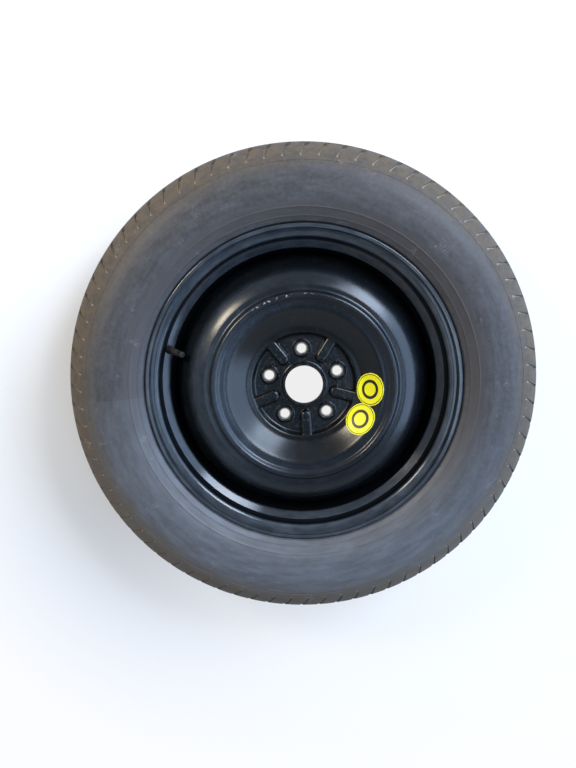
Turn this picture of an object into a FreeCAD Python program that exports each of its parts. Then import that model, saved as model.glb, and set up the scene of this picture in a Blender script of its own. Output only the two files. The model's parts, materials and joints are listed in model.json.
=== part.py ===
import FreeCAD
import Part

import math
import os

# Narrow temporary spare wheel for a car: a bias-ply tyre on a rolled steel rim, with a pressed
# steel disc welded into the rim's well and a snap-in rubber valve in the rim's outboard slope.
# Millimetres. The wheel lies flat, outboard side up: +Z is the wheel's axis, the origin is the
# wheel's centre in the middle plane of the rim, and one bolt hole is on +Y.

# Tyre
tyre_diameter = 754.0
tyre_section_width = 165.0
tread_half_width = 52.0
tread_edge_drop = 11.0
widest_radius = 305.0
rest_band = 10.0
crown_gauge = 13.0
sidewall_gauge = 7.0
bead_width = 18.0
bead_root_gauge = 13.0
lower_sidewall_lift = 2.0
bead_clearance = 0.2
groove_places = (14.0, 36.0)
groove_width = 6.0
groove_depth = 5.0
notch_count = 80
notch_width = 6.0
notch_depth = 4.0
notch_length = 17.0
slit_width = 2.5
slit_depth = 2.5
slit_length = 30.0
slit_lean_deg = 22.0
shoulder_line_radius = 334.0
shoulder_line_width = 2.0
shoulder_line_depth = 1.0

# Rim, a hoop rolled from strip
rim_width = 101.6
bead_seat_diameter = 462.0
flange_height = 17.3
flange_lip_width = 11.7
flange_lip_drop = 6.6
flange_curl = 5.8
heel_bend = 6.5
seat_width = 19.3
seat_taper_deg = 5.0
slope_run = 11.5
slope_bend = 3.0
well_depth = 17.5
well_outboard = -2.0
well_width = 22.0
well_bend = 6.0
inboard_seat_width = 15.0
rim_gauge = 2.6

# Disc, pressed from plate
hub_offset = 30.0
disc_gauge = 4.0
bore_diameter = 60.1
collar_height = 9.0
collar_bend = 4.0
plate_radius = 78.5
bowl_foot_run = 5.0
bowl_foot_rise = 9.0
bowl_floor_run = 8.5
bowl_floor_rise = 1.5
bowl_wall_run = 29.0
bowl_wall_rise = 22.5
shelf_run = 11.5
shelf_rise = 1.5
ridge_run = 5.0
ridge_rise = 5.5
ridge_top = 5.5
ridge_fall_run = 6.0
ridge_fall = 7.5
dome_run = 9.0
dome_fall = 0.5
step_run = 10.0
step_fall = 5.0
brow_run = 13.0
brow_fall = 2.0
disc_flange_inset = 4.0
disc_flange_length = 10.0
weld_fit = 0.05
plate_bend = 4.0
tight_bend = 5.0
bowl_bend = 20.0
dome_bend = 15.0
brow_bend = 12.0

# Bolt holes and stiffening ribs of the hub plate
bolt_count = 5
bolt_circle = 114.3
bolt_hole_diameter = 14.6
boss_foot_diameter = 30.0
boss_top_diameter = 25.0
boss_height = 4.0
seat_cone_deg = 60.0
rib_width = 20.0
rib_height = 7.0
rib_start = 42.0
rib_edge_round = 5.5

# Fillet welds between the disc's flange and the rim's well
weld_count = 4
weld_span_deg = 46.0
weld_leg = 4.5

# Snap-in valve, measured along its own axis from the rim's outer face
valve_angle_deg = 162.0
valve_hole_diameter = 11.5
valve_fit = 0.25
valve_collar_diameter = 13.6
valve_collar_height = 3.2
valve_waist_diameter = 11.0
valve_waist_height = 7.0
valve_neck_diameter = 9.6
valve_rubber_height = 24.0
valve_bulb_diameter = 15.6
valve_bulb_contact = 12.6
valve_bulb_depth = 6.5
stem_diameter = 7.7
stem_height = 34.0
stem_root_diameter = 6.4
stem_bore_diameter = 3.2
core_bore_diameter = 5.2
core_bore_depth = 12.0
stem_seat_depth = 1.0
core_fit = 0.06
core_head_setback = 1.2
core_barrel_diameter = 3.6
core_barrel_length = 6.0
core_gasket_length = 2.0
core_slot_width = 1.6
core_slot_depth = 1.6
pin_diameter = 1.1
pin_hole_diameter = 1.5
pin_setback = 0.4
plunger_diameter = 2.6
plunger_length = 1.6
plunger_seal_length = 0.6
spring_wire = 0.34
spring_turns = 5
spring_room_diameter = 2.6
spring_room_length = 7.0
spring_collar_length = 0.8

# Screw cap of the valve with its sealing ring
cap_diameter = 9.8
cap_length = 12.2
cap_wall_clearance = 0.12
cap_top = 1.4
cap_flute_count = 14
cap_flute_diameter = 1.2
cap_edge_round = 0.8
cap_seal_thickness = 0.9
cap_seal_bore = 2.6
cap_seal_gap = 0.05

# Yellow figure-of-eight sticker on the bowl's wall
label_thickness = 0.2
label_lift = 0.06
label_radius = 103.5
label_angle_deg = -21.4
label_pitch_deg = 27.7
label_tangent_diameter = 52.0
label_radial_diameter = 39.0

AXIS = FreeCAD.Vector(0, 0, 1)
ORIGIN = FreeCAD.Vector(0, 0, 0)
FULL_TURN = 360.0
BEYOND = 20.0
FILLET_SHARE = 0.46

half_width = rim_width / 2
seat_radius = bead_seat_diameter / 2
flange_radius = seat_radius + flange_height
bore_radius = bore_diameter / 2
plate_face = hub_offset + disc_gauge
well_radius = seat_radius - well_depth
tyre_radius = tyre_diameter / 2
tyre_half = tyre_section_width / 2


def at(point):
    """A (radius, height) pair as a point of the XZ half plane."""
    return FreeCAD.Vector(point[0], 0, point[1])


def unit(a, b):
    """Unit direction from a to b, both (radius, height) pairs."""
    length = math.hypot(b[0] - a[0], b[1] - a[1])
    return (b[0] - a[0]) / length, (b[1] - a[1]) / length


def moved(point, direction, distance):
    """A pair carried along a direction."""
    return point[0] + direction[0] * distance, point[1] + direction[1] * distance


def turn(points, i):
    """Signed turn in radians at point i of a path, positive to the left."""
    d1 = unit(points[i - 1], points[i])
    d2 = unit(points[i], points[i + 1])
    return math.atan2(d1[0] * d2[1] - d1[1] * d2[0], d1[0] * d2[0] + d1[1] * d2[1])


def fitted_bends(points, bends):
    """Bend radii for the inner points of a path, each limited by its two runs."""
    fitted = []
    for i, bend in enumerate(bends, start=1):
        run = min(math.dist(points[i - 1], points[i]), math.dist(points[i], points[i + 1]))
        reach = math.tan(abs(turn(points, i)) / 2)
        fitted.append(min(bend, FILLET_SHARE * run / reach) if reach > 1e-6 else 0.0)
    return fitted


def path_edges(points, bends):
    """Straight runs joined by tangent arcs through a list of pairs."""
    edges = []
    here = points[0]
    for i, bend in enumerate(bends, start=1):
        d1 = unit(points[i - 1], points[i])
        d2 = unit(points[i], points[i + 1])
        half = abs(turn(points, i)) / 2
        reach = bend * math.tan(half)
        start = moved(points[i], d1, -reach)
        end = moved(points[i], d2, reach)
        if math.dist(here, start) > 1e-6:
            edges.append(Part.LineSegment(at(here), at(start)).toShape())
        if reach > 1e-6:
            inward = unit((0, 0), (d2[0] - d1[0], d2[1] - d1[1]))
            middle = moved(points[i], inward, bend / math.cos(half) - bend)
            edges.append(Part.Arc(at(start), at(middle), at(end)).toShape())
        here = end
    edges.append(Part.LineSegment(at(here), at(points[-1])).toShape())
    return edges


def beside(points, distance):
    """The path that runs at a distance to the right of another."""
    lines = []
    for a, b in zip(points, points[1:]):
        d = unit(a, b)
        side = (d[1], -d[0])
        lines.append((moved(a, side, distance), d))
    result = [lines[0][0]]
    for (p, d), (q, e) in zip(lines, lines[1:]):
        cross = d[0] * e[1] - d[1] * e[0]
        along = ((q[0] - p[0]) * e[1] - (q[1] - p[1]) * e[0]) / cross
        result.append(moved(p, d, along))
    d = unit(points[-2], points[-1])
    result.append(moved(points[-1], (d[1], -d[0]), distance))
    return result


def bends_beside(points, bends, distance):
    """Bend radii of the path to the right, so that a sheet keeps its gauge."""
    return [max(r + math.copysign(distance, turn(points, i)), 0.05)
            for i, r in enumerate(bends, start=1)]


def face_of(edges):
    """A face from a closed ring of edges."""
    return Part.Face(Part.Wire(Part.__sortEdges__(edges)))


def spun(face, degrees=FULL_TURN):
    """A face of the XZ half plane turned about the wheel's axis."""
    return face.revolve(ORIGIN, AXIS, degrees)


def sheet(points, bends, gauge):
    """Section of a bent sheet whose visible side is a path and whose gauge lies to the right."""
    bends = fitted_bends(points, bends)
    far = beside(points, gauge)
    edges = path_edges(points, bends)
    back = path_edges(far, bends_beside(points, bends, gauge))
    edges.append(Part.LineSegment(at(points[-1]), at(far[-1])).toShape())
    edges.append(Part.LineSegment(at(far[0]), at(points[0])).toShape())
    return face_of(edges + back)


def turned(outline, place=None):
    """A solid of revolution from a closed list of pairs, moved to its place if one is given."""
    ring = [at(p) for p in outline]
    solid = spun(Part.Face(Part.makePolygon(ring + ring[:1])))
    return solid.transformed(place.toMatrix()) if place else solid


def around(shape, count, start_deg=0.0):
    """Copies of a shape at equal angles about the wheel's axis."""
    copies = []
    for i in range(count):
        copy = shape.copy()
        copy.rotate(ORIGIN, AXIS, start_deg + i * FULL_TURN / count)
        copies.append(copy)
    return copies


# Rim

def rim_path():
    """Tyre side of the rim from the outboard lip to the inboard lip."""
    taper = math.tan(math.radians(seat_taper_deg))
    seat_end = (seat_radius - seat_width * taper, half_width - seat_width)
    knee = (seat_end[0] - slope_run, seat_end[1] - slope_run)
    inboard_end = (seat_radius - inboard_seat_width * taper, -half_width + inboard_seat_width)
    return [
        (flange_radius - flange_lip_drop, half_width + flange_lip_width),
        (flange_radius, half_width + flange_lip_width),
        (flange_radius, half_width),
        (seat_radius, half_width),
        seat_end,
        knee,
        (well_radius, well_outboard),
        (well_radius, well_outboard - well_width),
        inboard_end,
        (seat_radius, -half_width),
        (flange_radius, -half_width),
        (flange_radius, -half_width - flange_lip_width),
        (flange_radius - flange_lip_drop, -half_width - flange_lip_width),
    ]


RIM_BENDS = [flange_curl, flange_curl, heel_bend, slope_bend, slope_bend, well_bend, well_bend,
             slope_bend, heel_bend, flange_curl, flange_curl]


def valve_frame():
    """Placement whose local Z is the valve's axis, with zero on the rim's outer face."""
    path = rim_path()
    high, low = path[4], path[5]
    middle = ((high[0] + low[0]) / 2, (high[1] + low[1]) / 2)
    d = unit(high, low)
    outward = (d[1], -d[0])
    seat = moved(middle, outward, rim_gauge)
    tilt = FreeCAD.Rotation(FreeCAD.Vector(0, 0, 1), FreeCAD.Vector(outward[0], 0, outward[1]))
    local = FreeCAD.Placement(at(seat), tilt)
    spin = FreeCAD.Placement(ORIGIN, FreeCAD.Rotation(AXIS, valve_angle_deg))
    return spin.multiply(local)


def make_rim():
    """Rolled hoop with the valve's hole through its outboard slope."""
    hoop = spun(sheet(rim_path(), RIM_BENDS, rim_gauge))
    hole = Part.makeCylinder(valve_hole_diameter / 2, 4 * rim_gauge, FreeCAD.Vector(0, 0, -3 * rim_gauge))
    return hoop.cut(hole.transformed(valve_frame().toMatrix()))


# Disc

def disc_path():
    """Outboard side of the disc from the collar's tip to the end of the flange in the well."""
    steps = [
        (0.0, -collar_height),
        (plate_radius - bore_radius - disc_gauge, 0.0),
        (bowl_foot_run, bowl_foot_rise),
        (bowl_floor_run, bowl_floor_rise),
        (bowl_wall_run, bowl_wall_rise),
        (shelf_run, shelf_rise),
        (ridge_run, ridge_rise),
        (ridge_top, 0.0),
        (ridge_fall_run, -ridge_fall),
        (dome_run, -dome_fall),
        (step_run, -step_fall),
        (brow_run, -brow_fall),
    ]
    points = [(bore_radius + disc_gauge, plate_face + collar_height)]
    for run, rise in steps:
        points.append((points[-1][0] + run, points[-1][1] + rise))
    flange = well_radius - rim_gauge - weld_fit
    flange_top = well_outboard - disc_flange_inset
    points.append((flange, flange_top))
    points.append((flange, flange_top - disc_flange_length))
    return points


DISC_BENDS = [collar_bend, plate_bend, tight_bend, bowl_bend, bowl_bend, tight_bend, tight_bend,
              tight_bend, tight_bend, dome_bend, dome_bend, brow_bend, dome_bend]


def space_behind_disc():
    """The room inboard of the disc, which ribs and bosses may not enter."""
    points = disc_path()
    bends = fitted_bends(points, DISC_BENDS)
    far = beside(points, disc_gauge)
    edges = path_edges(far, bends_beside(points, bends, disc_gauge))
    floor = far[-1][1]
    corners = [far[-1], (0.0, floor), (0.0, far[0][1]), far[0]]
    for a, b in zip(corners, corners[1:]):
        edges.append(Part.LineSegment(at(a), at(b)).toShape())
    return spun(face_of(edges))


def slot_block(start, end, width, low, high):
    """A bar along +X with a round inner end, between two heights."""
    round_end = Part.makeCylinder(width / 2, high - low, FreeCAD.Vector(start + width / 2, 0, low))
    bar = Part.makeBox(end - start - width / 2, width, high - low,
                       FreeCAD.Vector(start + width / 2, -width / 2, low))
    return bar.fuse(round_end).removeSplitter()


def stiffening_rib():
    """Raised rib between two bolt holes, running from the collar into the bowl's foot."""
    top = plate_face + rib_height
    end = plate_radius + bowl_foot_run + disc_gauge
    bar = slot_block(rib_start, end, rib_width, plate_face - disc_gauge / 2, top)
    rim_edges = [e for e in bar.Edges
                 if abs(e.BoundBox.ZMin - top) < 1e-6 and abs(e.BoundBox.ZMax - top) < 1e-6
                 and e.BoundBox.XMin < end - 1e-6]
    return bar.makeFillet(rib_edge_round, rim_edges)


def rib_pocket():
    """Hollow that the press leaves behind a rib."""
    return slot_block(rib_start + disc_gauge, plate_radius - disc_gauge, rib_width - 2 * disc_gauge,
                      hub_offset - BEYOND, plate_face + rib_height - disc_gauge)


def bolt_boss():
    """Raised seat around a bolt hole, on +X."""
    return Part.makeCone(boss_foot_diameter / 2, boss_top_diameter / 2, boss_height,
                         FreeCAD.Vector(bolt_circle / 2, 0, plate_face))


def bolt_hole():
    """Stud hole with the conical seat for the nut, on +X."""
    place = FreeCAD.Vector(bolt_circle / 2, 0, hub_offset - BEYOND)
    hole = Part.makeCylinder(bolt_hole_diameter / 2, 3 * BEYOND, place)
    flare = (boss_height + disc_gauge / 2) * math.tan(math.radians(seat_cone_deg / 2))
    cone = Part.makeCone(bolt_hole_diameter / 2, bolt_hole_diameter / 2 + flare,
                         boss_height + disc_gauge / 2,
                         FreeCAD.Vector(bolt_circle / 2, 0, plate_face - disc_gauge / 2))
    return hole.fuse(cone)


def make_disc():
    """Pressed disc with its collar, bosses, ribs and holes."""
    first_bolt = 90.0
    between = first_bolt + FULL_TURN / bolt_count / 2
    disc = spun(sheet(disc_path(), DISC_BENDS, disc_gauge))
    rib = stiffening_rib().cut(space_behind_disc())
    disc = disc.fuse(around(rib, bolt_count, between) + around(bolt_boss(), bolt_count, first_bolt))
    cuts = around(rib_pocket(), bolt_count, between) + around(bolt_hole(), bolt_count, first_bolt)
    return disc.cut(cuts).removeSplitter()


def make_welds():
    """Fillet welds on the inboard edge of the disc's flange, in short arcs."""
    corner = disc_path()[-1]
    wall = well_radius - rim_gauge
    outline = [(wall, corner[1]), (corner[0] - weld_leg, corner[1]), (wall, corner[1] - weld_leg)]
    ring = [at(p) for p in outline]
    arc = spun(Part.Face(Part.makePolygon(ring + ring[:1])), weld_span_deg)
    return Part.makeCompound(around(arc, weld_count))


# Tyre

def arc_between(a, b, widest):
    """Arc from a to b with its widest height at the one of them that is the widest point."""
    other = b if widest == a else a
    run = widest[0] - other[0]
    rise = widest[1] - other[1]
    radius = (run * run + rise * rise) / (2 * rise)
    centre = (widest[0], widest[1] - radius)
    angle = math.atan2(other[1] - centre[1], other[0] - centre[0])
    middle_angle = (angle + math.copysign(math.pi / 2, rise)) / 2
    middle = moved(centre, (math.cos(middle_angle), math.sin(middle_angle)), radius)
    return Part.Arc(at(a), at(middle), at(b)).toShape()


def line(a, b):
    """Straight edge between two pairs."""
    return Part.LineSegment(at(a), at(b)).toShape()


def mirrored(edges):
    """Edges reflected in the wheel's middle plane."""
    return [e.mirror(ORIGIN, AXIS) for e in edges]


def tyre_section():
    """Section of the casing: tread, sidewalls and the two beads seated on the rim."""
    taper = math.tan(math.radians(seat_taper_deg))
    tread_edge = (tyre_radius - tread_edge_drop, tread_half_width)
    high_side = (widest_radius + rest_band / 2, tyre_half)
    low_side = (widest_radius - rest_band / 2, tyre_half)
    over_flange = flange_radius + bead_clearance
    inside_flange = half_width - bead_clearance
    root = (over_flange + lower_sidewall_lift, half_width + flange_lip_width + lower_sidewall_lift)
    lip = (over_flange, half_width + flange_lip_width / 2)
    heel = (seat_radius + bead_clearance, inside_flange)
    toe = (heel[0] - bead_width * taper, inside_flange - bead_width)
    inner_root = (root[0] + bead_root_gauge / 2, root[1] - bead_root_gauge)
    inner_widest = (widest_radius, tyre_half - sidewall_gauge)
    inner_edge = (tread_edge[0] - crown_gauge, tread_half_width - crown_gauge / 4)
    bead = [lip, (over_flange, inside_flange), heel, toe]
    bends = fitted_bends(bead, [flange_curl + bead_clearance, heel_bend - bead_clearance])
    side = [
        arc_between(tread_edge, high_side, high_side),
        line(high_side, low_side),
        arc_between(low_side, root, low_side),
        line(root, lip),
        *path_edges(bead, bends),
        line(toe, inner_root),
        arc_between(inner_root, inner_widest, inner_widest),
        arc_between(inner_widest, inner_edge, inner_widest),
    ]
    low_edge = (tread_edge[0], -tread_edge[1])
    low_inner = (inner_edge[0], -inner_edge[1])
    crown = Part.Arc(at(low_edge), at((tyre_radius, 0)), at(tread_edge)).toShape()
    ceiling = Part.Arc(at(low_inner), at((tyre_radius - crown_gauge, 0)), at(inner_edge)).toShape()
    return face_of([crown, ceiling] + side + mirrored(side))


def crown_radius_at(height):
    """Outer radius of the tread at a height above the middle plane."""
    sweep = (tread_half_width ** 2 + tread_edge_drop ** 2) / (2 * tread_edge_drop)
    return tyre_radius - sweep + math.sqrt(sweep ** 2 - height ** 2)


def tread_grooves():
    """Straight grooves round the tread, in mirrored pairs."""
    rings = []
    for place in groove_places:
        for height in (place, -place):
            floor = crown_radius_at(height) - groove_depth
            low = height - groove_width / 2
            high = height + groove_width / 2
            rings.append(turned([(floor, low), (tyre_radius + BEYOND, low),
                                 (tyre_radius + BEYOND, high), (floor, high)]))
    return rings


def flank_arc():
    """Centre and radius of the arc from the tread's edge to the sidewall's widest band."""
    centre_radius = widest_radius + rest_band / 2
    run = tyre_radius - tread_edge_drop - centre_radius
    rise = tyre_half - tread_half_width
    radius = (run * run + rise * rise) / (2 * rise)
    return (centre_radius, tyre_half - radius), radius


def shoulder_lines():
    """Shallow ring on each sidewall where the shoulder ends."""
    centre, radius = flank_arc()
    floor = centre[1] + math.sqrt(radius ** 2 - (shoulder_line_radius - centre[0]) ** 2) - shoulder_line_depth
    inner = shoulder_line_radius - shoulder_line_width / 2
    outer = shoulder_line_radius + shoulder_line_width / 2
    ring = turned([(inner, floor), (outer, floor), (outer, floor + BEYOND), (inner, floor + BEYOND)])
    return [ring, ring.mirror(ORIGIN, AXIS)]


def shoulder_notch():
    """Cross groove over the tread's edge and the leaning slit that runs from it down the shoulder."""
    edge = FreeCAD.Vector(tyre_radius - tread_edge_drop, 0, tread_half_width)
    slope = math.degrees(math.atan2(tread_edge_drop, tread_half_width)) * 2
    block = Part.makeBox(BEYOND, notch_width, notch_length,
                         FreeCAD.Vector(-notch_depth, -notch_width / 2, -notch_length / 2))
    block.rotate(ORIGIN, FreeCAD.Vector(0, 1, 0), -slope)
    centre, radius = flank_arc()
    start = math.atan2(edge.z - centre[1], edge.x - centre[0])
    fall = math.degrees(start + math.asin(slit_length / 2 / radius))
    slit = Part.makeBox(BEYOND, slit_width, slit_length, FreeCAD.Vector(-slit_depth, -slit_width / 2, 0))
    slit.rotate(ORIGIN, FreeCAD.Vector(1, 0, 0), -slit_lean_deg)
    slit.rotate(ORIGIN, FreeCAD.Vector(0, 1, 0), -fall)
    notch = block.fuse(slit)
    notch.translate(edge)
    return notch


def shoulder_notches():
    """Notches round both tread edges, the two sides half a pitch apart."""
    notch = shoulder_notch()
    low = notch.mirror(ORIGIN, AXIS)
    return around(notch, notch_count) + around(low, notch_count, FULL_TURN / notch_count / 2)


def make_tyre():
    """Hollow casing with its tread cut in."""
    return spun(tyre_section()).cut(tread_grooves() + shoulder_lines()).cut(shoulder_notches())


# Valve

def make_valve_body():
    """Moulded rubber: bulb inside the rim, neck through its hole and tapered trunk outside."""
    inside = -rim_gauge - valve_fit
    neck = valve_hole_diameter / 2 - valve_fit
    bore = stem_root_diameter / 2
    outline = [
        (bore, inside - valve_bulb_depth),
        (valve_bulb_contact / 2, inside - valve_bulb_depth),
        (valve_bulb_diameter / 2, inside - valve_bulb_depth / 2),
        (valve_bulb_contact / 2, inside),
        (neck, inside),
        (neck, valve_fit),
        (valve_collar_diameter / 2, valve_fit),
        (valve_collar_diameter / 2, valve_collar_height),
        (valve_waist_diameter / 2, valve_waist_height),
        (valve_neck_diameter / 2, valve_rubber_height),
        (bore, valve_rubber_height),
    ]
    return turned(outline, valve_frame())


def core_floor():
    """Height of the seat that the core's gasket lands on."""
    return stem_height - core_bore_depth


def make_valve_stem():
    """Turned brass tube, moulded into the rubber, with the core's bore at its mouth."""
    foot = -rim_gauge - valve_fit - valve_bulb_depth
    outline = [
        (stem_bore_diameter / 2, foot),
        (stem_root_diameter / 2, foot),
        (stem_root_diameter / 2, valve_rubber_height),
        (stem_diameter / 2, valve_rubber_height),
        (stem_diameter / 2, stem_height),
        (core_bore_diameter / 2, stem_height),
        (core_bore_diameter / 2, core_floor() + stem_seat_depth),
        (core_barrel_diameter / 2 + core_fit, core_floor()),
        (core_barrel_diameter / 2 + core_fit, core_floor() - core_barrel_length - plunger_length),
        (stem_bore_diameter / 2, core_floor() - core_barrel_length - 2 * plunger_length),
    ]
    return turned(outline, valve_frame())


def core_head_top():
    """Height of the top of the core's head inside the stem's mouth."""
    return stem_height - core_head_setback


def gasket_floor():
    """Height at which the core's gasket begins, just above the stem's seat."""
    return core_floor() + stem_seat_depth + core_fit


def barrel_foot():
    """Height of the lower end of the core's barrel, where the plunger seals."""
    return core_floor() - core_barrel_length + plunger_length


def make_core_housing():
    """Screwed head and barrel of the valve core, with room for the spring."""
    head = core_bore_diameter / 2 - core_fit
    barrel = core_barrel_diameter / 2
    head_foot = gasket_floor() + core_gasket_length
    hole = pin_hole_diameter / 2
    room = spring_room_diameter / 2
    room_floor = core_head_top() - core_slot_depth - spring_room_length
    outline = [
        (hole, barrel_foot()),
        (barrel, barrel_foot()),
        (barrel, head_foot),
        (head, head_foot),
        (head, core_head_top()),
        (room, core_head_top()),
        (room, room_floor),
        (hole, room_floor),
    ]
    housing = turned(outline)
    slot = Part.makeBox(core_bore_diameter, core_slot_width, core_slot_depth,
                        FreeCAD.Vector(-core_bore_diameter / 2, -core_slot_width / 2,
                                       core_head_top() - core_slot_depth))
    return housing.cut(slot).transformed(valve_frame().toMatrix())


def make_core_gasket():
    """Sealing sleeve between the core's barrel and the stem's seat."""
    inner = core_barrel_diameter / 2
    outer = core_bore_diameter / 2 - core_fit
    low = gasket_floor()
    return turned([(inner, low), (outer, low), (outer, low + core_gasket_length),
                   (inner, low + core_gasket_length)], valve_frame())


def plunger_top():
    """Height of the plunger's metal cup, below its rubber seal."""
    return barrel_foot() - core_fit - plunger_seal_length


def spring_seats():
    """Heights of the spring's two ends: the floor of its room and the pin's collar."""
    floor = core_head_top() - core_slot_depth - spring_room_length
    return floor, core_head_top() - core_slot_depth - spring_collar_length


def make_core_pin():
    """Pin of the valve core with the spring's collar and the plunger's cup turned on it."""
    pin = pin_diameter / 2
    collar = spring_room_diameter / 2 - 2 * core_fit
    cup = plunger_top() - plunger_length
    collar_foot = spring_seats()[1]
    outline = [
        (0, cup),
        (plunger_diameter / 2, cup),
        (plunger_diameter / 2, plunger_top()),
        (pin, plunger_top()),
        (pin, collar_foot),
        (collar, collar_foot),
        (collar, collar_foot + spring_collar_length),
        (pin, collar_foot + spring_collar_length),
        (pin, stem_height - pin_setback),
        (0, stem_height - pin_setback),
    ]
    return turned(outline, valve_frame())


def make_core_seal():
    """Rubber ring on the plunger that closes the barrel's lower end."""
    low = plunger_top()
    return turned([(pin_diameter / 2, low), (plunger_diameter / 2, low),
                   (plunger_diameter / 2, low + plunger_seal_length),
                   (pin_diameter / 2, low + plunger_seal_length)], valve_frame())


def make_core_spring():
    """Coil spring that pulls the plunger shut: half rings, each tilted to meet the next."""
    low, high = spring_seats()
    inset = spring_wire / 2 + core_fit
    rise = (high - low - 2 * inset) / spring_turns / 2
    radius = spring_room_diameter / 2 - inset - core_fit
    reach = math.hypot(radius, rise / 2)
    tilt = math.degrees(math.asin(rise / 2 / reach))
    halves = []
    for i in range(2 * spring_turns):
        half = Part.makeTorus(reach, spring_wire / 2, ORIGIN, AXIS, 0, FULL_TURN, FULL_TURN / 2)
        half.rotate(ORIGIN, FreeCAD.Vector(0, 1, 0), tilt)
        half.rotate(ORIGIN, AXIS, FULL_TURN / 2 * (i % 2))
        half.translate(FreeCAD.Vector(0, 0, low + inset + (i + 0.5) * rise))
        halves.append(half)
    coil = halves[0].fuse(halves[1:]).Solids[0]
    return coil.transformed(valve_frame().toMatrix())


def cap_bore():
    """Radius of the cap's bore, which clears the stem's thread."""
    return stem_diameter / 2 + cap_wall_clearance


def make_cap_seal():
    """Rubber ring inside the cap that closes the stem's mouth."""
    low = stem_height + cap_seal_gap
    outer = cap_bore() - cap_wall_clearance
    return turned([(cap_seal_bore / 2, low), (outer, low), (outer, low + cap_seal_thickness),
                   (cap_seal_bore / 2, low + cap_seal_thickness)], valve_frame())


def make_valve_cap():
    """Moulded screw cap with flutes round its skirt."""
    ceiling = stem_height + cap_seal_thickness + 2 * cap_seal_gap
    top = ceiling + cap_top
    low = top - cap_length
    outer = cap_diameter / 2
    shell = turned([
        (cap_bore(), low),
        (outer, low),
        (outer, top - cap_edge_round),
        (outer - cap_edge_round, top),
        (0, top),
        (0, ceiling),
        (cap_bore(), ceiling),
    ])
    flute = Part.makeCylinder(cap_flute_diameter / 2, cap_length,
                              FreeCAD.Vector(outer + cap_flute_diameter / 4, 0, low - cap_top))
    shell = shell.cut(around(flute, cap_flute_count))
    return shell.transformed(valve_frame().toMatrix())


# Sticker

def make_label():
    """Thin figure-of-eight sticker that follows the bowl's wall."""
    points = disc_path()
    bends = fitted_bends(points, DISC_BENDS)
    first, last = 2, 7
    low = beside(points, -label_lift)[first:last]
    film = beside(points, -label_lift - label_thickness)[first:last]
    inner = bends_beside(points, bends, -label_lift)[first:last - 2]
    outer = bends_beside(points, bends, -label_lift - label_thickness)[first:last - 2]
    edges = path_edges(low, inner) + path_edges(film, outer)
    edges += [line(low[0], film[0]), line(low[-1], film[-1])]
    wall = spun(face_of(edges))
    oval = Part.Ellipse(ORIGIN, label_tangent_diameter / 2, label_radial_diameter / 2).toShape()
    stamp = Part.Face(Part.Wire([oval])).extrude(FreeCAD.Vector(0, 0, tyre_section_width))
    stamp.rotate(ORIGIN, AXIS, 90)
    stamp.translate(FreeCAD.Vector(label_radius, 0, 0))
    stamps = []
    for side in (-1, 1):
        copy = stamp.copy()
        copy.rotate(ORIGIN, AXIS, label_angle_deg + side * label_pitch_deg / 2)
        stamps.append(copy)
    return wall.common(stamps[0].fuse(stamps[1]))


NODES = {
    "tyre": make_tyre,
    "rim": make_rim,
    "wheel_disc": make_disc,
    "disc_welds": make_welds,
    "valve_body": make_valve_body,
    "valve_stem": make_valve_stem,
    "core_housing": make_core_housing,
    "core_gasket": make_core_gasket,
    "core_pin": make_core_pin,
    "core_seal": make_core_seal,
    "core_spring": make_core_spring,
    "cap_seal": make_cap_seal,
    "valve_cap": make_valve_cap,
    "label": make_label,
}

os.makedirs("parts", exist_ok=True)
for name, make in NODES.items():
    shape = make()
    box = shape.BoundBox
    print(name, "solids", len(shape.Solids), "valid", shape.isValid(), "volume", round(shape.Volume, 2),
          "z", round(box.ZMin, 2), round(box.ZMax, 2), "x", round(box.XMin, 2), round(box.XMax, 2))
    shape.exportStep("parts/" + name + ".step")
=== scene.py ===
import json
import logging
import math
from dataclasses import dataclass
from enum import Enum
from functools import cached_property
from typing import Any

import bmesh
import bpy
import numpy as np
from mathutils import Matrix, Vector


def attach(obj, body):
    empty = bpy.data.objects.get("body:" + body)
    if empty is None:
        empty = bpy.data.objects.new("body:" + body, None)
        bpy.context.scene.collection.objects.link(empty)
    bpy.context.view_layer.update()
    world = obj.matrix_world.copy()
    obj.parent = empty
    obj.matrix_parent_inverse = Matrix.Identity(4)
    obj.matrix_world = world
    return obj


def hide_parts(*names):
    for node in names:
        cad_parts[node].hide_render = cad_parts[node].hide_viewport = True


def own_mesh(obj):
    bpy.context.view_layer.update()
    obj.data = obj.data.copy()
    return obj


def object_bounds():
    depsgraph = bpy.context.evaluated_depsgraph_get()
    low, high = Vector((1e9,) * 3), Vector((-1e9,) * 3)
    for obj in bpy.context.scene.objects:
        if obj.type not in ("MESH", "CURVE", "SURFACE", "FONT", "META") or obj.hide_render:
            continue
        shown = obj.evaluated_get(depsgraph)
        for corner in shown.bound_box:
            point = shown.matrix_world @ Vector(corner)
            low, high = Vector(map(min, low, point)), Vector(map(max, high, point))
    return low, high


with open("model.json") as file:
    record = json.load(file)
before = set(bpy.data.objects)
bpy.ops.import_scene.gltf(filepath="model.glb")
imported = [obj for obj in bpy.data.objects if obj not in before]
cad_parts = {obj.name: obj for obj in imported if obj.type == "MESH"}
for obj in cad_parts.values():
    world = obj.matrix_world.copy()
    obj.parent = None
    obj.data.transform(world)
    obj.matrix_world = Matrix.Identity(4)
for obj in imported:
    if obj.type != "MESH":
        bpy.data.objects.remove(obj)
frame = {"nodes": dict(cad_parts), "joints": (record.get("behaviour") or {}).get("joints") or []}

# Looks of a temporary spare wheel that lies flat with its outboard side up. Sizes are millimetres,
# in the frame of the solids: +Z is the wheel's axis, and one bolt hole is on +Y.

CAD_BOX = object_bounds()
LOG = logging.getLogger("spare_wheel")
MM = 0.001
TURN = 2.0 * math.pi
MERGE = 2e-6
Pair = tuple[float, float]
Colour = tuple[float, float, float, float]
Socket = bpy.types.NodeSocket


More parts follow.
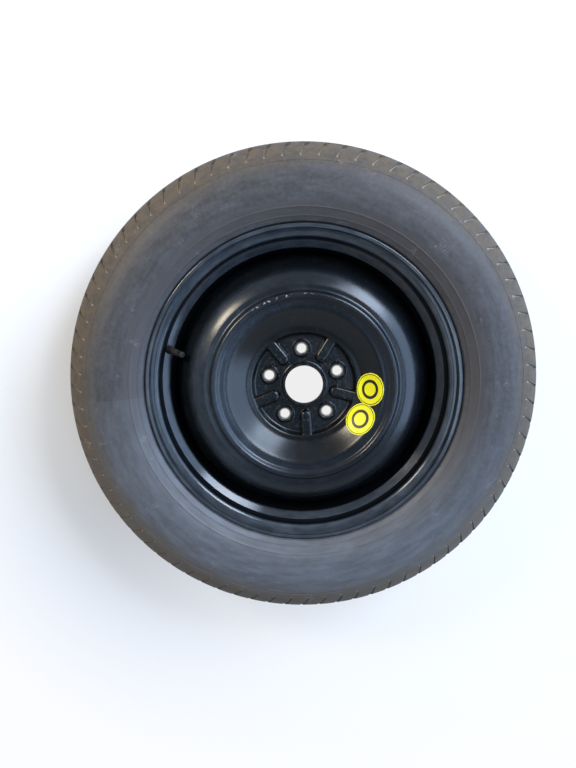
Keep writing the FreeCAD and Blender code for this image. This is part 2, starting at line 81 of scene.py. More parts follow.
class Body(Enum):
    """The rigid bodies that pieces ride on."""

    WHEEL = "wheel"
    CAP = "cap"


def linear(hex_code: str) -> Colour:
    """Turn an sRGB hex colour into linear RGBA.

    Args:
        hex_code: Six hex digits with a leading hash sign.

    Returns:
        Linear red, green, blue and an alpha of one.
    """
    srgb = [int(hex_code[i:i + 2], 16) / 255.0 for i in (1, 3, 5)]
    rgb = [c / 12.92 if c <= 0.04045 else ((c + 0.055) / 1.055) ** 2.4 for c in srgb]
    return (rgb[0], rgb[1], rgb[2], 1.0)


# Section paths

def unit(a: Pair, b: Pair) -> np.ndarray:
    """Unit direction from one pair to another."""
    step = np.subtract(b, a)
    return step / np.linalg.norm(step)


def turn_at(points: list[Pair], i: int) -> float:
    """Signed turn in radians at one point of a path, positive to the left."""
    d, e = unit(points[i - 1], points[i]), unit(points[i], points[i + 1])
    return math.atan2(d[0] * e[1] - d[1] * e[0], float(d @ e))


def fitted_bends(points: list[Pair], bends: list[float]) -> list[float]:
    """Limit each bend of a path by the two runs that it joins.

    Args:
        points: The path's corners as (radius, height) pairs.
        bends: One radius for each inner corner.

    Returns:
        The radii that fit.
    """
    share = 0.46
    fitted = []
    for i, bend in enumerate(bends, start=1):
        run = min(math.dist(points[i - 1], points[i]), math.dist(points[i], points[i + 1]))
        fitted.append(min(bend, share * run / max(math.tan(abs(turn_at(points, i)) / 2), 1e-6)))
    return fitted


def bent_path(points: list[Pair], bends: list[float], step_deg: float = 7.0) -> np.ndarray:
    """Sample a path of straight runs joined by tangent arcs.

    Each arc starts and ends at the bend's radius times the tangent of half the turn from its corner,
    and its points lie on the circle round the corner's inner centre.

    Args:
        points: The path's corners.
        bends: One radius for each inner corner.
        step_deg: The largest angle between two samples of an arc.

    Returns:
        An array of (radius, height) samples.
    """
    samples = [np.array([points[0]])]
    for i, bend in enumerate(bends, start=1):
        d, e = unit(points[i - 1], points[i]), unit(points[i], points[i + 1])
        angle = turn_at(points, i)
        reach = bend * math.tan(abs(angle) / 2)
        start = np.array(points[i]) - d * reach
        side = np.array([-d[1], d[0]]) * math.copysign(1.0, angle)
        count = max(2, math.ceil(abs(math.degrees(angle)) / step_deg) + 1)
        t = np.linspace(0.0, abs(angle), count)[:, None]
        samples.append(start + d * bend * np.sin(t) + side * bend * (1 - np.cos(t)))
    samples.append(np.array([points[-1]]))
    return np.vstack(samples)


def beside(points: list[Pair], distance: float) -> list[Pair]:
    """Give the corners of the path that runs at a distance to the right of another.

    Args:
        points: The path's corners.
        distance: How far to the right the new path runs.

    Returns:
        The new corners, where the shifted runs cross.
    """
    starts = []
    for a, b in zip(points, points[1:]):
        d = unit(a, b)
        starts.append((np.array(a) + np.array([d[1], -d[0]]) * distance, d))
    moved = [tuple(starts[0][0])]
    for (p, d), (q, e) in zip(starts, starts[1:]):
        gap = q - p
        along = (gap[0] * e[1] - gap[1] * e[0]) / (d[0] * e[1] - d[1] * e[0])
        moved.append(tuple(p + d * along))
    d = starts[-1][1]
    moved.append(tuple(np.array(points[-1]) + np.array([d[1], -d[0]]) * distance))
    return moved


def sheet_sides(points: list[Pair], bends: list[float], gauge: float) -> tuple[np.ndarray, np.ndarray]:
    """Sample both sides of a bent sheet that keeps its gauge through every bend.

    Args:
        points: Corners of the visible side.
        bends: Radii of the visible side's bends.
        gauge: The sheet's thickness, to the right of the path.

    Returns:
        The visible side and the hidden side, sampled in the same direction.
    """
    bends = fitted_bends(points, bends)
    tightest = 0.05
    far = [max(r + math.copysign(gauge, turn_at(points, i)), tightest) for i, r in enumerate(bends, start=1)]
    return bent_path(points, bends), bent_path(beside(points, gauge), far)


def spun(section: np.ndarray, angles: np.ndarray) -> np.ndarray:
    """Turn a section about the wheel's axis: (r cos a, r sin a, z) for every sample and angle.

    Args:
        section: Samples as (radius, height) pairs.
        angles: Angles in radians.

    Returns:
        A grid of points, one row for each sample.
    """
    radius, height = section[:, :1], section[:, 1:]
    return np.stack([radius * np.cos(angles), radius * np.sin(angles), height + 0 * angles], axis=-1)


class Surface:
    """Collects point grids in millimetres and makes one mesh object of them."""

    def __init__(self) -> None:
        """Start with no points."""
        self.points: list[np.ndarray] = []
        self.quads: list[np.ndarray] = []
        self.maps: list[np.ndarray] = []
        self.count = 0

    def add(self, grid: np.ndarray, wrap_rows: bool = False, wrap_columns: bool = False,
            flat: np.ndarray | None = None) -> None:
        """Add a grid whose neighbours in both directions are joined by quads.

        Args:
            grid: Points with shape (rows, columns, 3).
            wrap_rows: Whether the last row joins the first.
            wrap_columns: Whether the last column joins the first.
            flat: The grid's own flat coordinates, for a print that follows it.
        """
        rows, columns = grid.shape[:2]
        index = np.arange(rows * columns).reshape(rows, columns) + self.count
        if wrap_rows:
            index = np.vstack([index, index[:1]])
        if wrap_columns:
            index = np.hstack([index, index[:, :1]])
        quads = np.stack([index[:-1, :-1], index[:-1, 1:], index[1:, 1:], index[1:, :-1]], axis=-1)
        self.points.append(grid.reshape(-1, 3))
        self.quads.append(quads.reshape(-1, 4))
        self.maps.append((np.zeros((rows, columns, 2)) if flat is None else flat).reshape(-1, 2))
        self.count += rows * columns

    def build(self, name: str, material: bpy.types.Material, sharp_deg: float = 38.0) -> bpy.types.Object:
        """Make the mesh: merge shared points, turn the faces outwards and shade them smooth.

        Args:
            name: The object's name.
            material: What the object is made of.
            sharp_deg: Edges that turn by more than this stay crisp.

        Returns:
            The object, at the origin, linked to the scene.
        """
        mesh = bpy.data.meshes.new(name)
        mesh.from_pydata((np.vstack(self.points) * MM).tolist(), [], np.vstack(self.quads).tolist())
        layer = mesh.uv_layers.new(name="flat")
        corners = np.zeros(len(mesh.loops), dtype=np.int32)
        mesh.loops.foreach_get("vertex_index", corners)
        layer.data.foreach_set("uv", np.vstack(self.maps)[corners].astype(np.float32).ravel())
        work = bmesh.new()
        work.from_mesh(mesh)
        bmesh.ops.remove_doubles(work, verts=work.verts, dist=MERGE)
        bmesh.ops.dissolve_degenerate(work, edges=work.edges, dist=MERGE)
        bmesh.ops.recalc_face_normals(work, faces=work.faces)
        work.to_mesh(mesh)
        work.free()
        mesh.materials.append(material)
        mesh.shade_smooth()
        mesh.set_sharp_from_angle(angle=math.radians(sharp_deg))
        piece = bpy.data.objects.new(name, mesh)
        bpy.context.scene.collection.objects.link(piece)
        return piece


# Finishes

@dataclass(frozen=True)
class Grain:
    """Smooth random patches: their size, the noise values for nought and one, and the octaves."""

    size_mm: float
    low: float
    high: float
    detail: float = 3.0


class Shading:
    """A node tree with the wheel's own coordinates and the few operations that looks are written in."""

    def __init__(self, tree: bpy.types.NodeTree) -> None:
        """Start with an empty tree.

        Args:
            tree: The tree of a material or a world.
        """
        self.tree = tree
        tree.nodes.clear()

    def add_node(self, kind: str, inputs: dict[Any, Any] | None = None, **settings: Any) -> bpy.types.Node:
        """Add a node with its settings and links.

        Args:
            kind: The node's type.
            inputs: Values or output sockets by input name or number.
            settings: Attributes of the node.

        Returns:
            The new node.
        """
        node = self.tree.nodes.new(kind)
        for key, value in settings.items():
            setattr(node, key, value)
        for key, value in (inputs or {}).items():
            if isinstance(value, Socket):
                self.tree.links.new(value, node.inputs[key])
            else:
                node.inputs[key].default_value = value
        return node

    @cached_property
    def shader(self) -> bpy.types.Node:
        """The principled shader, joined to the material's output."""
        shader = self.add_node("ShaderNodeBsdfPrincipled")
        self.add_node("ShaderNodeOutputMaterial", {0: shader.outputs[0]})
        return shader

    @cached_property
    def point(self) -> Socket:
        """The point's own coordinates in metres."""
        return self.add_node("ShaderNodeTexCoord").outputs["Object"]

    @cached_property
    def flat(self) -> Socket:
        """The surface's own flat coordinates."""
        return self.add_node("ShaderNodeUVMap", uv_map="flat").outputs[0]

    @cached_property
    def across(self) -> Socket:
        """The part of the point that lies across the wheel's axis."""
        x, y, _ = self.split(self.point)
        return self.add_node("ShaderNodeCombineXYZ", {0: x, 1: y}).outputs[0]

    @cached_property
    def radius(self) -> Socket:
        """Distance from the wheel's axis in metres."""
        return self.add_node("ShaderNodeVectorMath", {0: self.across}, operation="LENGTH").outputs["Value"]

    @cached_property
    def angle(self) -> Socket:
        """Angle round the wheel's axis in radians."""
        x, y, _ = self.split(self.point)
        return self.maths("ARCTAN2", y, x)

    @cached_property
    def streak(self) -> Socket:
        """A point that moves slowly along the wheel's circles, for streaks that follow them."""
        reach = 0.06
        way = self.add_node("ShaderNodeVectorMath", {0: self.across}, operation="NORMALIZE").outputs[0]
        around = self.add_node("ShaderNodeVectorMath", {0: way, "Scale": reach}, operation="SCALE").outputs[0]
        outward = self.add_node("ShaderNodeCombineXYZ", {2: self.radius}).outputs[0]
        return self.add_node("ShaderNodeVectorMath", {0: around, 1: outward}, operation="ADD").outputs[0]

    def split(self, vector: Socket) -> list[Socket]:
        """The three parts of a vector."""
        return list(self.add_node("ShaderNodeSeparateXYZ", {0: vector}).outputs)

    def maths(self, operation: str, *values: Any) -> Socket:
        """One sum on sockets or numbers."""
        return self.add_node("ShaderNodeMath", dict(enumerate(values)), operation=operation).outputs[0]

    def product(self, *factors: Any) -> Socket:
        """Multiply masks and numbers together."""
        result = factors[0]
        for factor in factors[1:]:
            result = self.maths("MULTIPLY", result, factor)
        return result

    def ramp(self, value: Socket, low: float, high: float, start: Any = 0.0, end: Any = 1.0,
             kind: str = "SMOOTHSTEP") -> Socket:
        """Pass from one number to another as a value rises.

        Args:
            value: The value.
            low: Where the passage starts.
            high: Where it ends.
            start: The number before it.
            end: The number after it.
            kind: How it eases.

        Returns:
            The number as a socket.
        """
        return self.add_node("ShaderNodeMapRange", {0: value, 1: low, 2: high, 3: start, 4: end},
                             interpolation_type=kind).outputs[0]

    def band(self, value: Socket, centre: float, half: float, soft: float) -> Socket:
        """One inside a band of a coordinate and nought outside it.

        Args:
            value: The coordinate.
            centre: The band's middle.
            half: Half the band's width.
            soft: Width of the soft edge.

        Returns:
            The mask as a value socket.
        """
        away = self.maths("ABSOLUTE", self.maths("SUBTRACT", value, centre))
        return self.ramp(away, half, half + soft, 1.0, 0.0)

    def noise(self, point: Socket, size_mm: float, detail: float = 2.0, roughness: float = 0.5) -> Socket:
        """Noise whose grain has a real size in millimetres."""
        return self.add_node("ShaderNodeTexNoise", {"Vector": point, "Scale": 1.0 / (size_mm * MM),
                                                    "Detail": detail, "Roughness": roughness}).outputs[0]

    def speckle(self, grain: Grain, point: Socket | None = None) -> Socket:
        """Smooth random patches, from nought to one.

        Args:
            grain: The patches' size and share.
            point: Coordinates in metres, the point's own if none are given.

        Returns:
            The patches as a value socket.
        """
        place = self.point if point is None else point
        return self.ramp(self.noise(place, grain.size_mm, grain.detail, 0.55), grain.low, grain.high)

    def tinted(self, share: Any, under: Any, over: Any) -> Socket:
        """Mix two colours, given as hex codes or sockets, by a mask."""
        under, over = (linear(c) if isinstance(c, str) else c for c in (under, over))
        return self.add_node("ShaderNodeMix", {0: share, 6: under, 7: over}, data_type="RGBA").outputs[2]

    def blended(self, share: Any, low: Any, high: Any) -> Socket:
        """Mix two numbers by a mask."""
        return self.add_node("ShaderNodeMix", {0: share, 2: low, 3: high}, data_type="FLOAT").outputs[0]

    def feed(self, name: str, value: Socket) -> None:
        """Join a socket to one of the shader's inputs."""
        self.tree.links.new(value, self.shader.inputs[name])

    def bump(self, height: Socket, strength: Any, depth_mm: float) -> None:
        """Give the shader a bump of a real depth in millimetres."""
        node = self.add_node("ShaderNodeBump", {"Strength": strength, "Distance": depth_mm * MM,
                                                "Height": height})
        self.feed("Normal", node.outputs[0])


@dataclass(frozen=True)
class Finish:
    """A surface finish, named for what it is made of and how."""

    name: str

    def material(self) -> bpy.types.Material:
        """Make the finish's material.

        Returns:
            A material with one principled shader, dressed by the finish.
        """
        material = bpy.data.materials.new(self.name)
        material.use_nodes = True
        self.dress(Shading(material.node_tree))
        return material

    def dress(self, shade: Shading) -> None:
        """Set the shader's inputs and patterns."""
        raise NotImplementedError


@dataclass(frozen=True)
class GlossBlackPaint(Finish):
    """Stoved black enamel on pressed steel: deep gloss with a fine orange peel, dust, and a film of dust with
    a painted bluish sheen.
    """

    colour: str = "#07090b"
    # painted sheen: this bluish grey stands in for reflected light as well as dust
    dust_and_sheen: str = "#4a5664"
    dust: str = "#7e7b76"
    chip: str = "#b9b8b3"
    bare: str = "#b4b4b1"
    gloss: float = 0.25
    dull: float = 0.33
    dusty: float = 0.7
    flaked: float = 0.75
    # the film of dust and painted sheen: more on faces that look up and on one side of the wheel, where the
    # light falls
    film: float = 0.42
    dust_sheen_inside: float = 0.0
    dust_sheen_from_mm: float = 112.0
    dust_sheen_edge_mm: float = 18.0
    dust_sheen_far_side: float = 0.25
    dust_sheen_turn_deg: Pair = (85.0, 150.0)
    dust_sheen_facing: Pair = (0.3, 0.8)
    speck_share: float = 0.3
    plate_mm: float = 70.0
    plate_edge_mm: float = 8.0
    plate_share: float = 0.14
    chipped: bool = True
    chip_share: float = 0.8
    chip_ring_mm: tuple[float, float, float] = (141.0, 0.7, 1.6)
    chip_arc_deg: tuple[float, float, float] = (101.0, 16.0, 5.0)
    bolt_count: int = 5
    bolt_radius_mm: float = 57.15
    worn_mm: float = 8.6
    worn_edge_mm: float = 1.0
    peel_mm: float = 3.2
    peel_depth_mm: float = 0.4
    peel: float = 0.08
    plate_peel: float = 0.35
    dust_sheen_patches: Grain = Grain(45.0, 0.42, 0.75)
    dust_sheen_streaks: Grain = Grain(6.0, 0.3, 0.7, 5.0)
    speck_grain: Grain = Grain(2.4, 0.66, 0.78, 2.0)
    speck_patches: Grain = Grain(70.0, 0.4, 0.7)
    plate_grain: Grain = Grain(4.0, 0.5, 0.75, 6.0)
    chip_grain: Grain = Grain(5.0, 0.56, 0.64, 6.0)
    worn_grain: Grain = Grain(5.0, 0.3, 0.5)

    def dress(self, shade: Shading) -> None:
        """Lay a film of dust and painted sheen, dust specks and chips over the black, with a bump for the
        paint's orange peel.

        Args:
            shade: The material's nodes.
        """
        dust_and_sheen = shade.speckle(self.dust_sheen_patches)
        # painted sheen: the film lays the bluish colour over the black, partly dust and partly reflected
        # light
        film = shade.product(self.dust_sheen_mask(shade), shade.blended(dust_and_sheen, 0.7, 1.0))
        colour = shade.tinted(film, self.colour, self.dust_and_sheen)
        specks = shade.product(shade.speckle(self.speck_grain), shade.speckle(self.speck_patches),
                               self.speck_share)
        colour = shade.tinted(specks, colour, self.dust)
        plate = shade.band(shade.radius, 0.0, self.plate_mm * MM, self.plate_edge_mm * MM)
        dust = shade.product(plate, shade.speckle(self.plate_grain), self.plate_share)
        colour = shade.tinted(dust, colour, self.dust)
        rough = shade.blended(dust, shade.blended(dust_and_sheen, self.gloss, self.dull), self.dusty)
        if self.chipped:
            chips = self.chip_mask(shade)
            colour = shade.tinted(chips, colour, self.chip)
            rough = shade.blended(chips, rough, self.flaked)
            worn = shade.product(self.near_bolts(shade), shade.speckle(self.worn_grain))
            colour = shade.tinted(worn, colour, self.bare)
            shade.feed("Metallic", worn)
        shade.feed("Base Color", colour)
        shade.feed("Roughness", rough)
        peel = shade.noise(shade.point, self.peel_mm)
        shade.bump(peel, shade.blended(plate, self.peel, self.plate_peel), self.peel_depth_mm)

    def dust_sheen_mask(self, shade: Shading) -> Socket:
        """Mask the film of dust and painted sheen, a bluish colour that stands in for reflected light: it
        lies on faces that look up and is thicker on one side of the wheel.

        Args:
            shade: The material's nodes.

        Returns:
            The mask as a value socket.
        """
        start, end = self.dust_sheen_from_mm * MM, (self.dust_sheen_from_mm + self.dust_sheen_edge_mm) * MM
        outer = shade.ramp(shade.radius, start, end, self.dust_sheen_inside)
        turn = [math.radians(a) for a in self.dust_sheen_turn_deg]
        side = shade.ramp(shade.maths("ABSOLUTE", shade.angle), *turn, self.dust_sheen_far_side)
        patchy = shade.blended(shade.speckle(self.dust_sheen_streaks, shade.streak), 0.6, 1.0)
        normal = shade.add_node("ShaderNodeTexCoord").outputs["Normal"]
        lying = shade.ramp(shade.split(normal)[2], *self.dust_sheen_facing)
        return shade.product(outer, side, patchy, lying, self.film)

    def chip_mask(self, shade: Shading) -> Socket:
        """Mask the chips along a stretch of the bowl's rim.

        Args:
            shade: The material's nodes.

        Returns:
            The mask as a value socket.
        """
        ring = shade.band(shade.radius, *(v * MM for v in self.chip_ring_mm))
        arc = shade.band(shade.angle, *(math.radians(a) for a in self.chip_arc_deg))
        return shade.product(ring, arc, shade.speckle(self.chip_grain), self.chip_share)

    def near_bolts(self, shade: Shading) -> Socket:
        """Mask the bolt holes' conical seats, where nuts rub the paint off.

        The angle is folded onto one hole's sector, and the law of cosines gives the distance from that hole.

        Args:
            shade: The material's nodes.

        Returns:
            The mask as a value socket.
        """
        sector = TURN / self.bolt_count
        hole = self.bolt_radius_mm * MM
        folded = shade.maths("WRAP", shade.maths("SUBTRACT", shade.angle, TURN / 4), -sector / 2, sector / 2)
        squares = shade.maths("MULTIPLY_ADD", shade.radius, shade.radius, hole * hole)
        cross = shade.product(shade.radius, shade.maths("COSINE", folded), 2 * hole)
        reach = shade.maths("POWER", shade.maths("SUBTRACT", squares, cross), 0.5)
        return shade.band(reach, 0.0, self.worn_mm * MM, self.worn_edge_mm * MM)


@dataclass(frozen=True)
class TyreRubber(Finish):
    """Moulded carbon-black rubber: grey bloom on the sidewall, a painted bluish sheen with bloom streaks on
    its lower side, brown dust on the shoulder and tread.
    """

    rubber: str = "#393737"
    bloom: str = "#4c4b4e"
    lower: str = "#464241"
    dust: str = "#5f5241"
    # painted shade: the sipes' darker colour stands in for the shade inside the cuts
    sipe_shade: str = "#23211e"
    scuff: str = "#a9abae"
    silt: str = "#a59984"
    # painted sheen: a lighter bluish grey on the lower side of the sidewall stands in for light from that
    # side, broken into streaks like bloom
    sheen_bloom: str = "#747a81"
    sheen_side_arc_deg: tuple[float, float, float] = (-102.0, 40.0, 60.0)
    sheen_bloom_share: float = 0.5
    lower_mm: tuple[float, float, float] = (266.0, 8.0, 7.0)
    lower_share: float = 0.7
    shoulder_mm: Pair = (312.0, 350.0)
    streak_share: float = 0.55
    silt_share: float = 0.8
    grit_share: float = 0.2
    scuff_share: float = 0.3
    tread_mm: float = 366.0
    tread_edge_mm: Pair = (367.0, 368.0)
    sipe_count: float = 160.0
    sipe_mm: float = 1.6
    sipe_depth: float = -6.0
    rough: Pair = (0.44, 0.56)
    dusty: float = 0.82
    skin_mm: float = 1.6
    skin_depth_mm: float = 0.5
    mottle_grain: Grain = Grain(6.0, 0.34, 0.7, 6.0)
    streak_grain: Grain = Grain(7.0, 0.34, 0.68, 5.0)
    sheen_bloom_grain: Grain = Grain(9.0, 0.3, 0.75, 6.0)
    dust_grain: Grain = Grain(12.0, 0.35, 0.65, 6.0)
    grit_grain: Grain = Grain(1.6, 0.5, 0.72, 2.0)
    scuff_patches: Grain = Grain(26.0, 0.6, 0.7, 8.0)
    scuff_grain: Grain = Grain(2.0, 0.45, 0.7)

    def dress(self, shade: Shading) -> None:
        """Blend bloom and dust by distance from the axis, with streaks, a painted sheen on the lower side,
        sipes painted dark as shade, and scuffs.

        Args:
            shade: The material's nodes.
        """
        streaks = shade.speckle(self.streak_grain, shade.streak)
        bloom = shade.blended(self.streak_share, shade.speckle(self.mottle_grain), streaks)
        lower = shade.band(shade.radius, *(v * MM for v in self.lower_mm))
        # painted sheen on the lower side of the wheel, in bloom streaks
        sheen_side = shade.band(shade.angle, *(math.radians(a) for a in self.sheen_side_arc_deg))
        sheen_bloom_streaks = shade.blended(shade.speckle(self.sheen_bloom_grain, shade.streak), 0.45, 1.0)
        edge = shade.ramp(shade.radius, *(v * MM for v in self.shoulder_mm))
        dust_patches = shade.blended(shade.speckle(self.dust_grain), 0.45, 1.0)
        cut = self.sipe_mask(shade)
        scuffs = shade.product(shade.speckle(self.scuff_patches), shade.speckle(self.scuff_grain),
                               self.scuff_share)
        colour = shade.tinted(bloom, self.rubber, self.bloom)
        for share, over in (
            (shade.product(lower, self.lower_share), self.lower),
            # painted sheen with bloom streaks
            (shade.product(sheen_side, sheen_bloom_streaks, self.sheen_bloom_share), self.sheen_bloom),
            (shade.product(edge, dust_patches), self.dust),
            (shade.product(shade.split(shade.flat)[0], self.silt_share), self.silt),
            (shade.product(shade.speckle(self.grit_grain), self.grit_share), self.dust),
            # painted shade in the sipes
            (cut, self.sipe_shade),
            (scuffs, self.scuff),
        ):
            colour = shade.tinted(share, colour, over)
        shade.feed("Base Color", colour)
        shade.feed("Roughness", shade.blended(edge, shade.blended(bloom, *self.rough), self.dusty))
        skin = shade.noise(shade.point, self.skin_mm, 4.0)
        shade.bump(shade.maths("ADD", skin, shade.product(cut, self.sipe_depth)), 0.4, self.skin_depth_mm)

    def sipe_mask(self, shade: Shading) -> Socket:
        """Mask the fine cuts across the tread's blocks, evenly spaced round the wheel, for their bump and
        their painted shade.

        Args:
            shade: The material's nodes.

        Returns:
            The mask as a value socket.
        """
        saw = shade.maths("WRAP", shade.product(shade.angle, self.sipe_count / TURN), 0.0, 1.0)
        half = self.sipe_mm * self.sipe_count / (TURN * self.tread_mm) / 2
        tread = shade.ramp(shade.radius, *(v * MM for v in self.tread_edge_mm), kind="LINEAR")
        return shade.product(shade.band(saw, 0.5, half, half), tread)


@dataclass(frozen=True)
class Moulded(Finish):
    """A small moulding in rubber or plastic: matt, with a fine grain and a little dust."""

    colour: str = "#131211"
    worn: str = "#282420"
    rough: float = 0.6
    rougher: float = 0.15
    grain_mm: float = 0.5
    grain_depth_mm: float = 0.1
    wear_grain: Grain = Grain(4.0, 0.4, 0.7, 4.0)

    def dress(self, shade: Shading) -> None:
        """Mix worn patches into the colour and add the moulding's grain.

        Args:
            shade: The material's nodes.
        """
        wear = shade.speckle(self.wear_grain)
        shade.feed("Base Color", shade.tinted(wear, self.colour, self.worn))
        shade.feed("Roughness", shade.blended(wear, self.rough, self.rough + self.rougher))
        shade.bump(shade.noise(shade.point, self.grain_mm), 0.3, self.grain_depth_mm)


@dataclass(frozen=True)
class BareMetal(Finish):
    """Turned brass or drawn wire: bright metal with a slightly uneven tarnish."""

    colour: str = "#c8a15a"
    tarnish: str = "#7d6238"
    rough: float = 0.28
    rougher: float = 0.2
    tarnish_grain: Grain = Grain(3.0, 0.42, 0.7, 4.0)

    def dress(self, shade: Shading) -> None:
        """Mix tarnish into the metal's colour and roughness.

        Args:
            shade: The material's nodes.
        """
        tarnish = shade.speckle(self.tarnish_grain)
        shade.feed("Base Color", shade.tinted(tarnish, self.colour, self.tarnish))
        shade.feed("Roughness", shade.blended(tarnish, self.rough, self.rough + self.rougher))
        shade.shader.inputs["Metallic"].default_value = 1.0


@dataclass(frozen=True)
class PrintedFilm(Finish):
    """Yellow vinyl film with plain black marks: a thin border and one ring on each lobe."""

    ground: str = "#fdf200"
    ink: str = "#15140d"
    soil: str = "#c2b420"
    border_mm: tuple[float, float, float] = (23.6, 0.5, 0.15)
    ring_mm: tuple[float, float, float] = (13.0, 2.3, 0.2)
    rough: Pair = (0.38, 0.6)
    soil_share: float = 0.25
    soil_grain: Grain = Grain(9.0, 0.5, 0.8, 5.0)

    def dress(self, shade: Shading) -> None:
        """Draw the marks from the film's own flat coordinates, which are millimetres from a lobe's centre.

        Args:
            shade: The material's nodes.
        """
        reach = shade.add_node("ShaderNodeVectorMath", {0: shade.flat}, operation="LENGTH").outputs["Value"]
        ink = shade.maths("MAXIMUM", shade.band(reach, *self.border_mm), shade.band(reach, *self.ring_mm))
        soil = shade.product(shade.speckle(self.soil_grain), self.soil_share)
        shade.feed("Base Color", shade.tinted(ink, shade.tinted(soil, self.ground, self.soil), self.ink))
        shade.feed("Roughness", shade.blended(soil, *self.rough))


# Sub-assemblies

@dataclass
class Rim:
    """The rolled steel hoop."""

    width: float = 101.6
    seat_diameter: float = 462.0
    flange_height: float = 17.3
    lip_width: float = 11.7
    lip_drop: float = 6.6
    curl: float = 5.8
    heel_bend: float = 6.5
    seat_width: float = 21.5
    seat_taper_deg: float = 5.0
    slope_run: float = 11.5
    slope_drop: float = 7.0
    slope_bend: float = 3.0
    well_depth: float = 17.5
    well_outboard: float = -2.0
    well_width: float = 22.0
    well_bend: float = 6.0
    inboard_seat_width: float = 15.0
    gauge: float = 2.6
    facets: int = 360

    @property
    def half(self) -> float:
        """Half the width between the flanges."""
        return self.width / 2

    @property
    def seat(self) -> float:
        """Radius of the bead seat at the heel."""
        return self.seat_diameter / 2

    @property
    def flange(self) -> float:
        """Radius of the flanges' tops."""
        return self.seat + self.flange_height

    @property
    def well(self) -> float:
        """Radius of the well on the tyre's side."""
        return self.seat - self.well_depth

    def corners(self) -> list[Pair]:
        """Corners of the tyre side from the outboard lip to the inboard lip.

        Returns:
            The corners as (radius, height) pairs.
        """
        taper = math.tan(math.radians(self.seat_taper_deg))
        end = (self.seat - self.seat_width * taper, self.half - self.seat_width)
        lip = self.half + self.lip_width
        return [
            (self.flange - self.lip_drop, lip), (self.flange, lip), (self.flange, self.half),
            (self.seat, self.half), end, (end[0] - self.slope_run, end[1] - self.slope_drop),
            (self.well, self.well_outboard), (self.well, self.well_outboard - self.well_width),
            (self.seat - self.inboard_seat_width * taper, self.inboard_seat_width - self.half),
            (self.seat, -self.half), (self.flange, -self.half), (self.flange, -lip),
            (self.flange - self.lip_drop, -lip),
        ]

    def build(self, paint: bpy.types.Material) -> bpy.types.Object:
        """Spin the strip's bent section round the axis.

        Args:
            paint: The wheel's paint.

        Returns:
            The hoop's object.
        """
        bends = [self.curl, self.curl, self.heel_bend, self.slope_bend, self.slope_bend, self.well_bend,
                 self.well_bend, self.slope_bend, self.heel_bend, self.curl, self.curl]
        tyre_side, air_side = sheet_sides(self.corners(), bends, self.gauge)
        angles = np.arange(self.facets) * TURN / self.facets
        surface = Surface()
        surface.add(spun(np.vstack([tyre_side, air_side[::-1]]), angles), wrap_rows=True, wrap_columns=True)
        return surface.build("rim_hoop", paint)


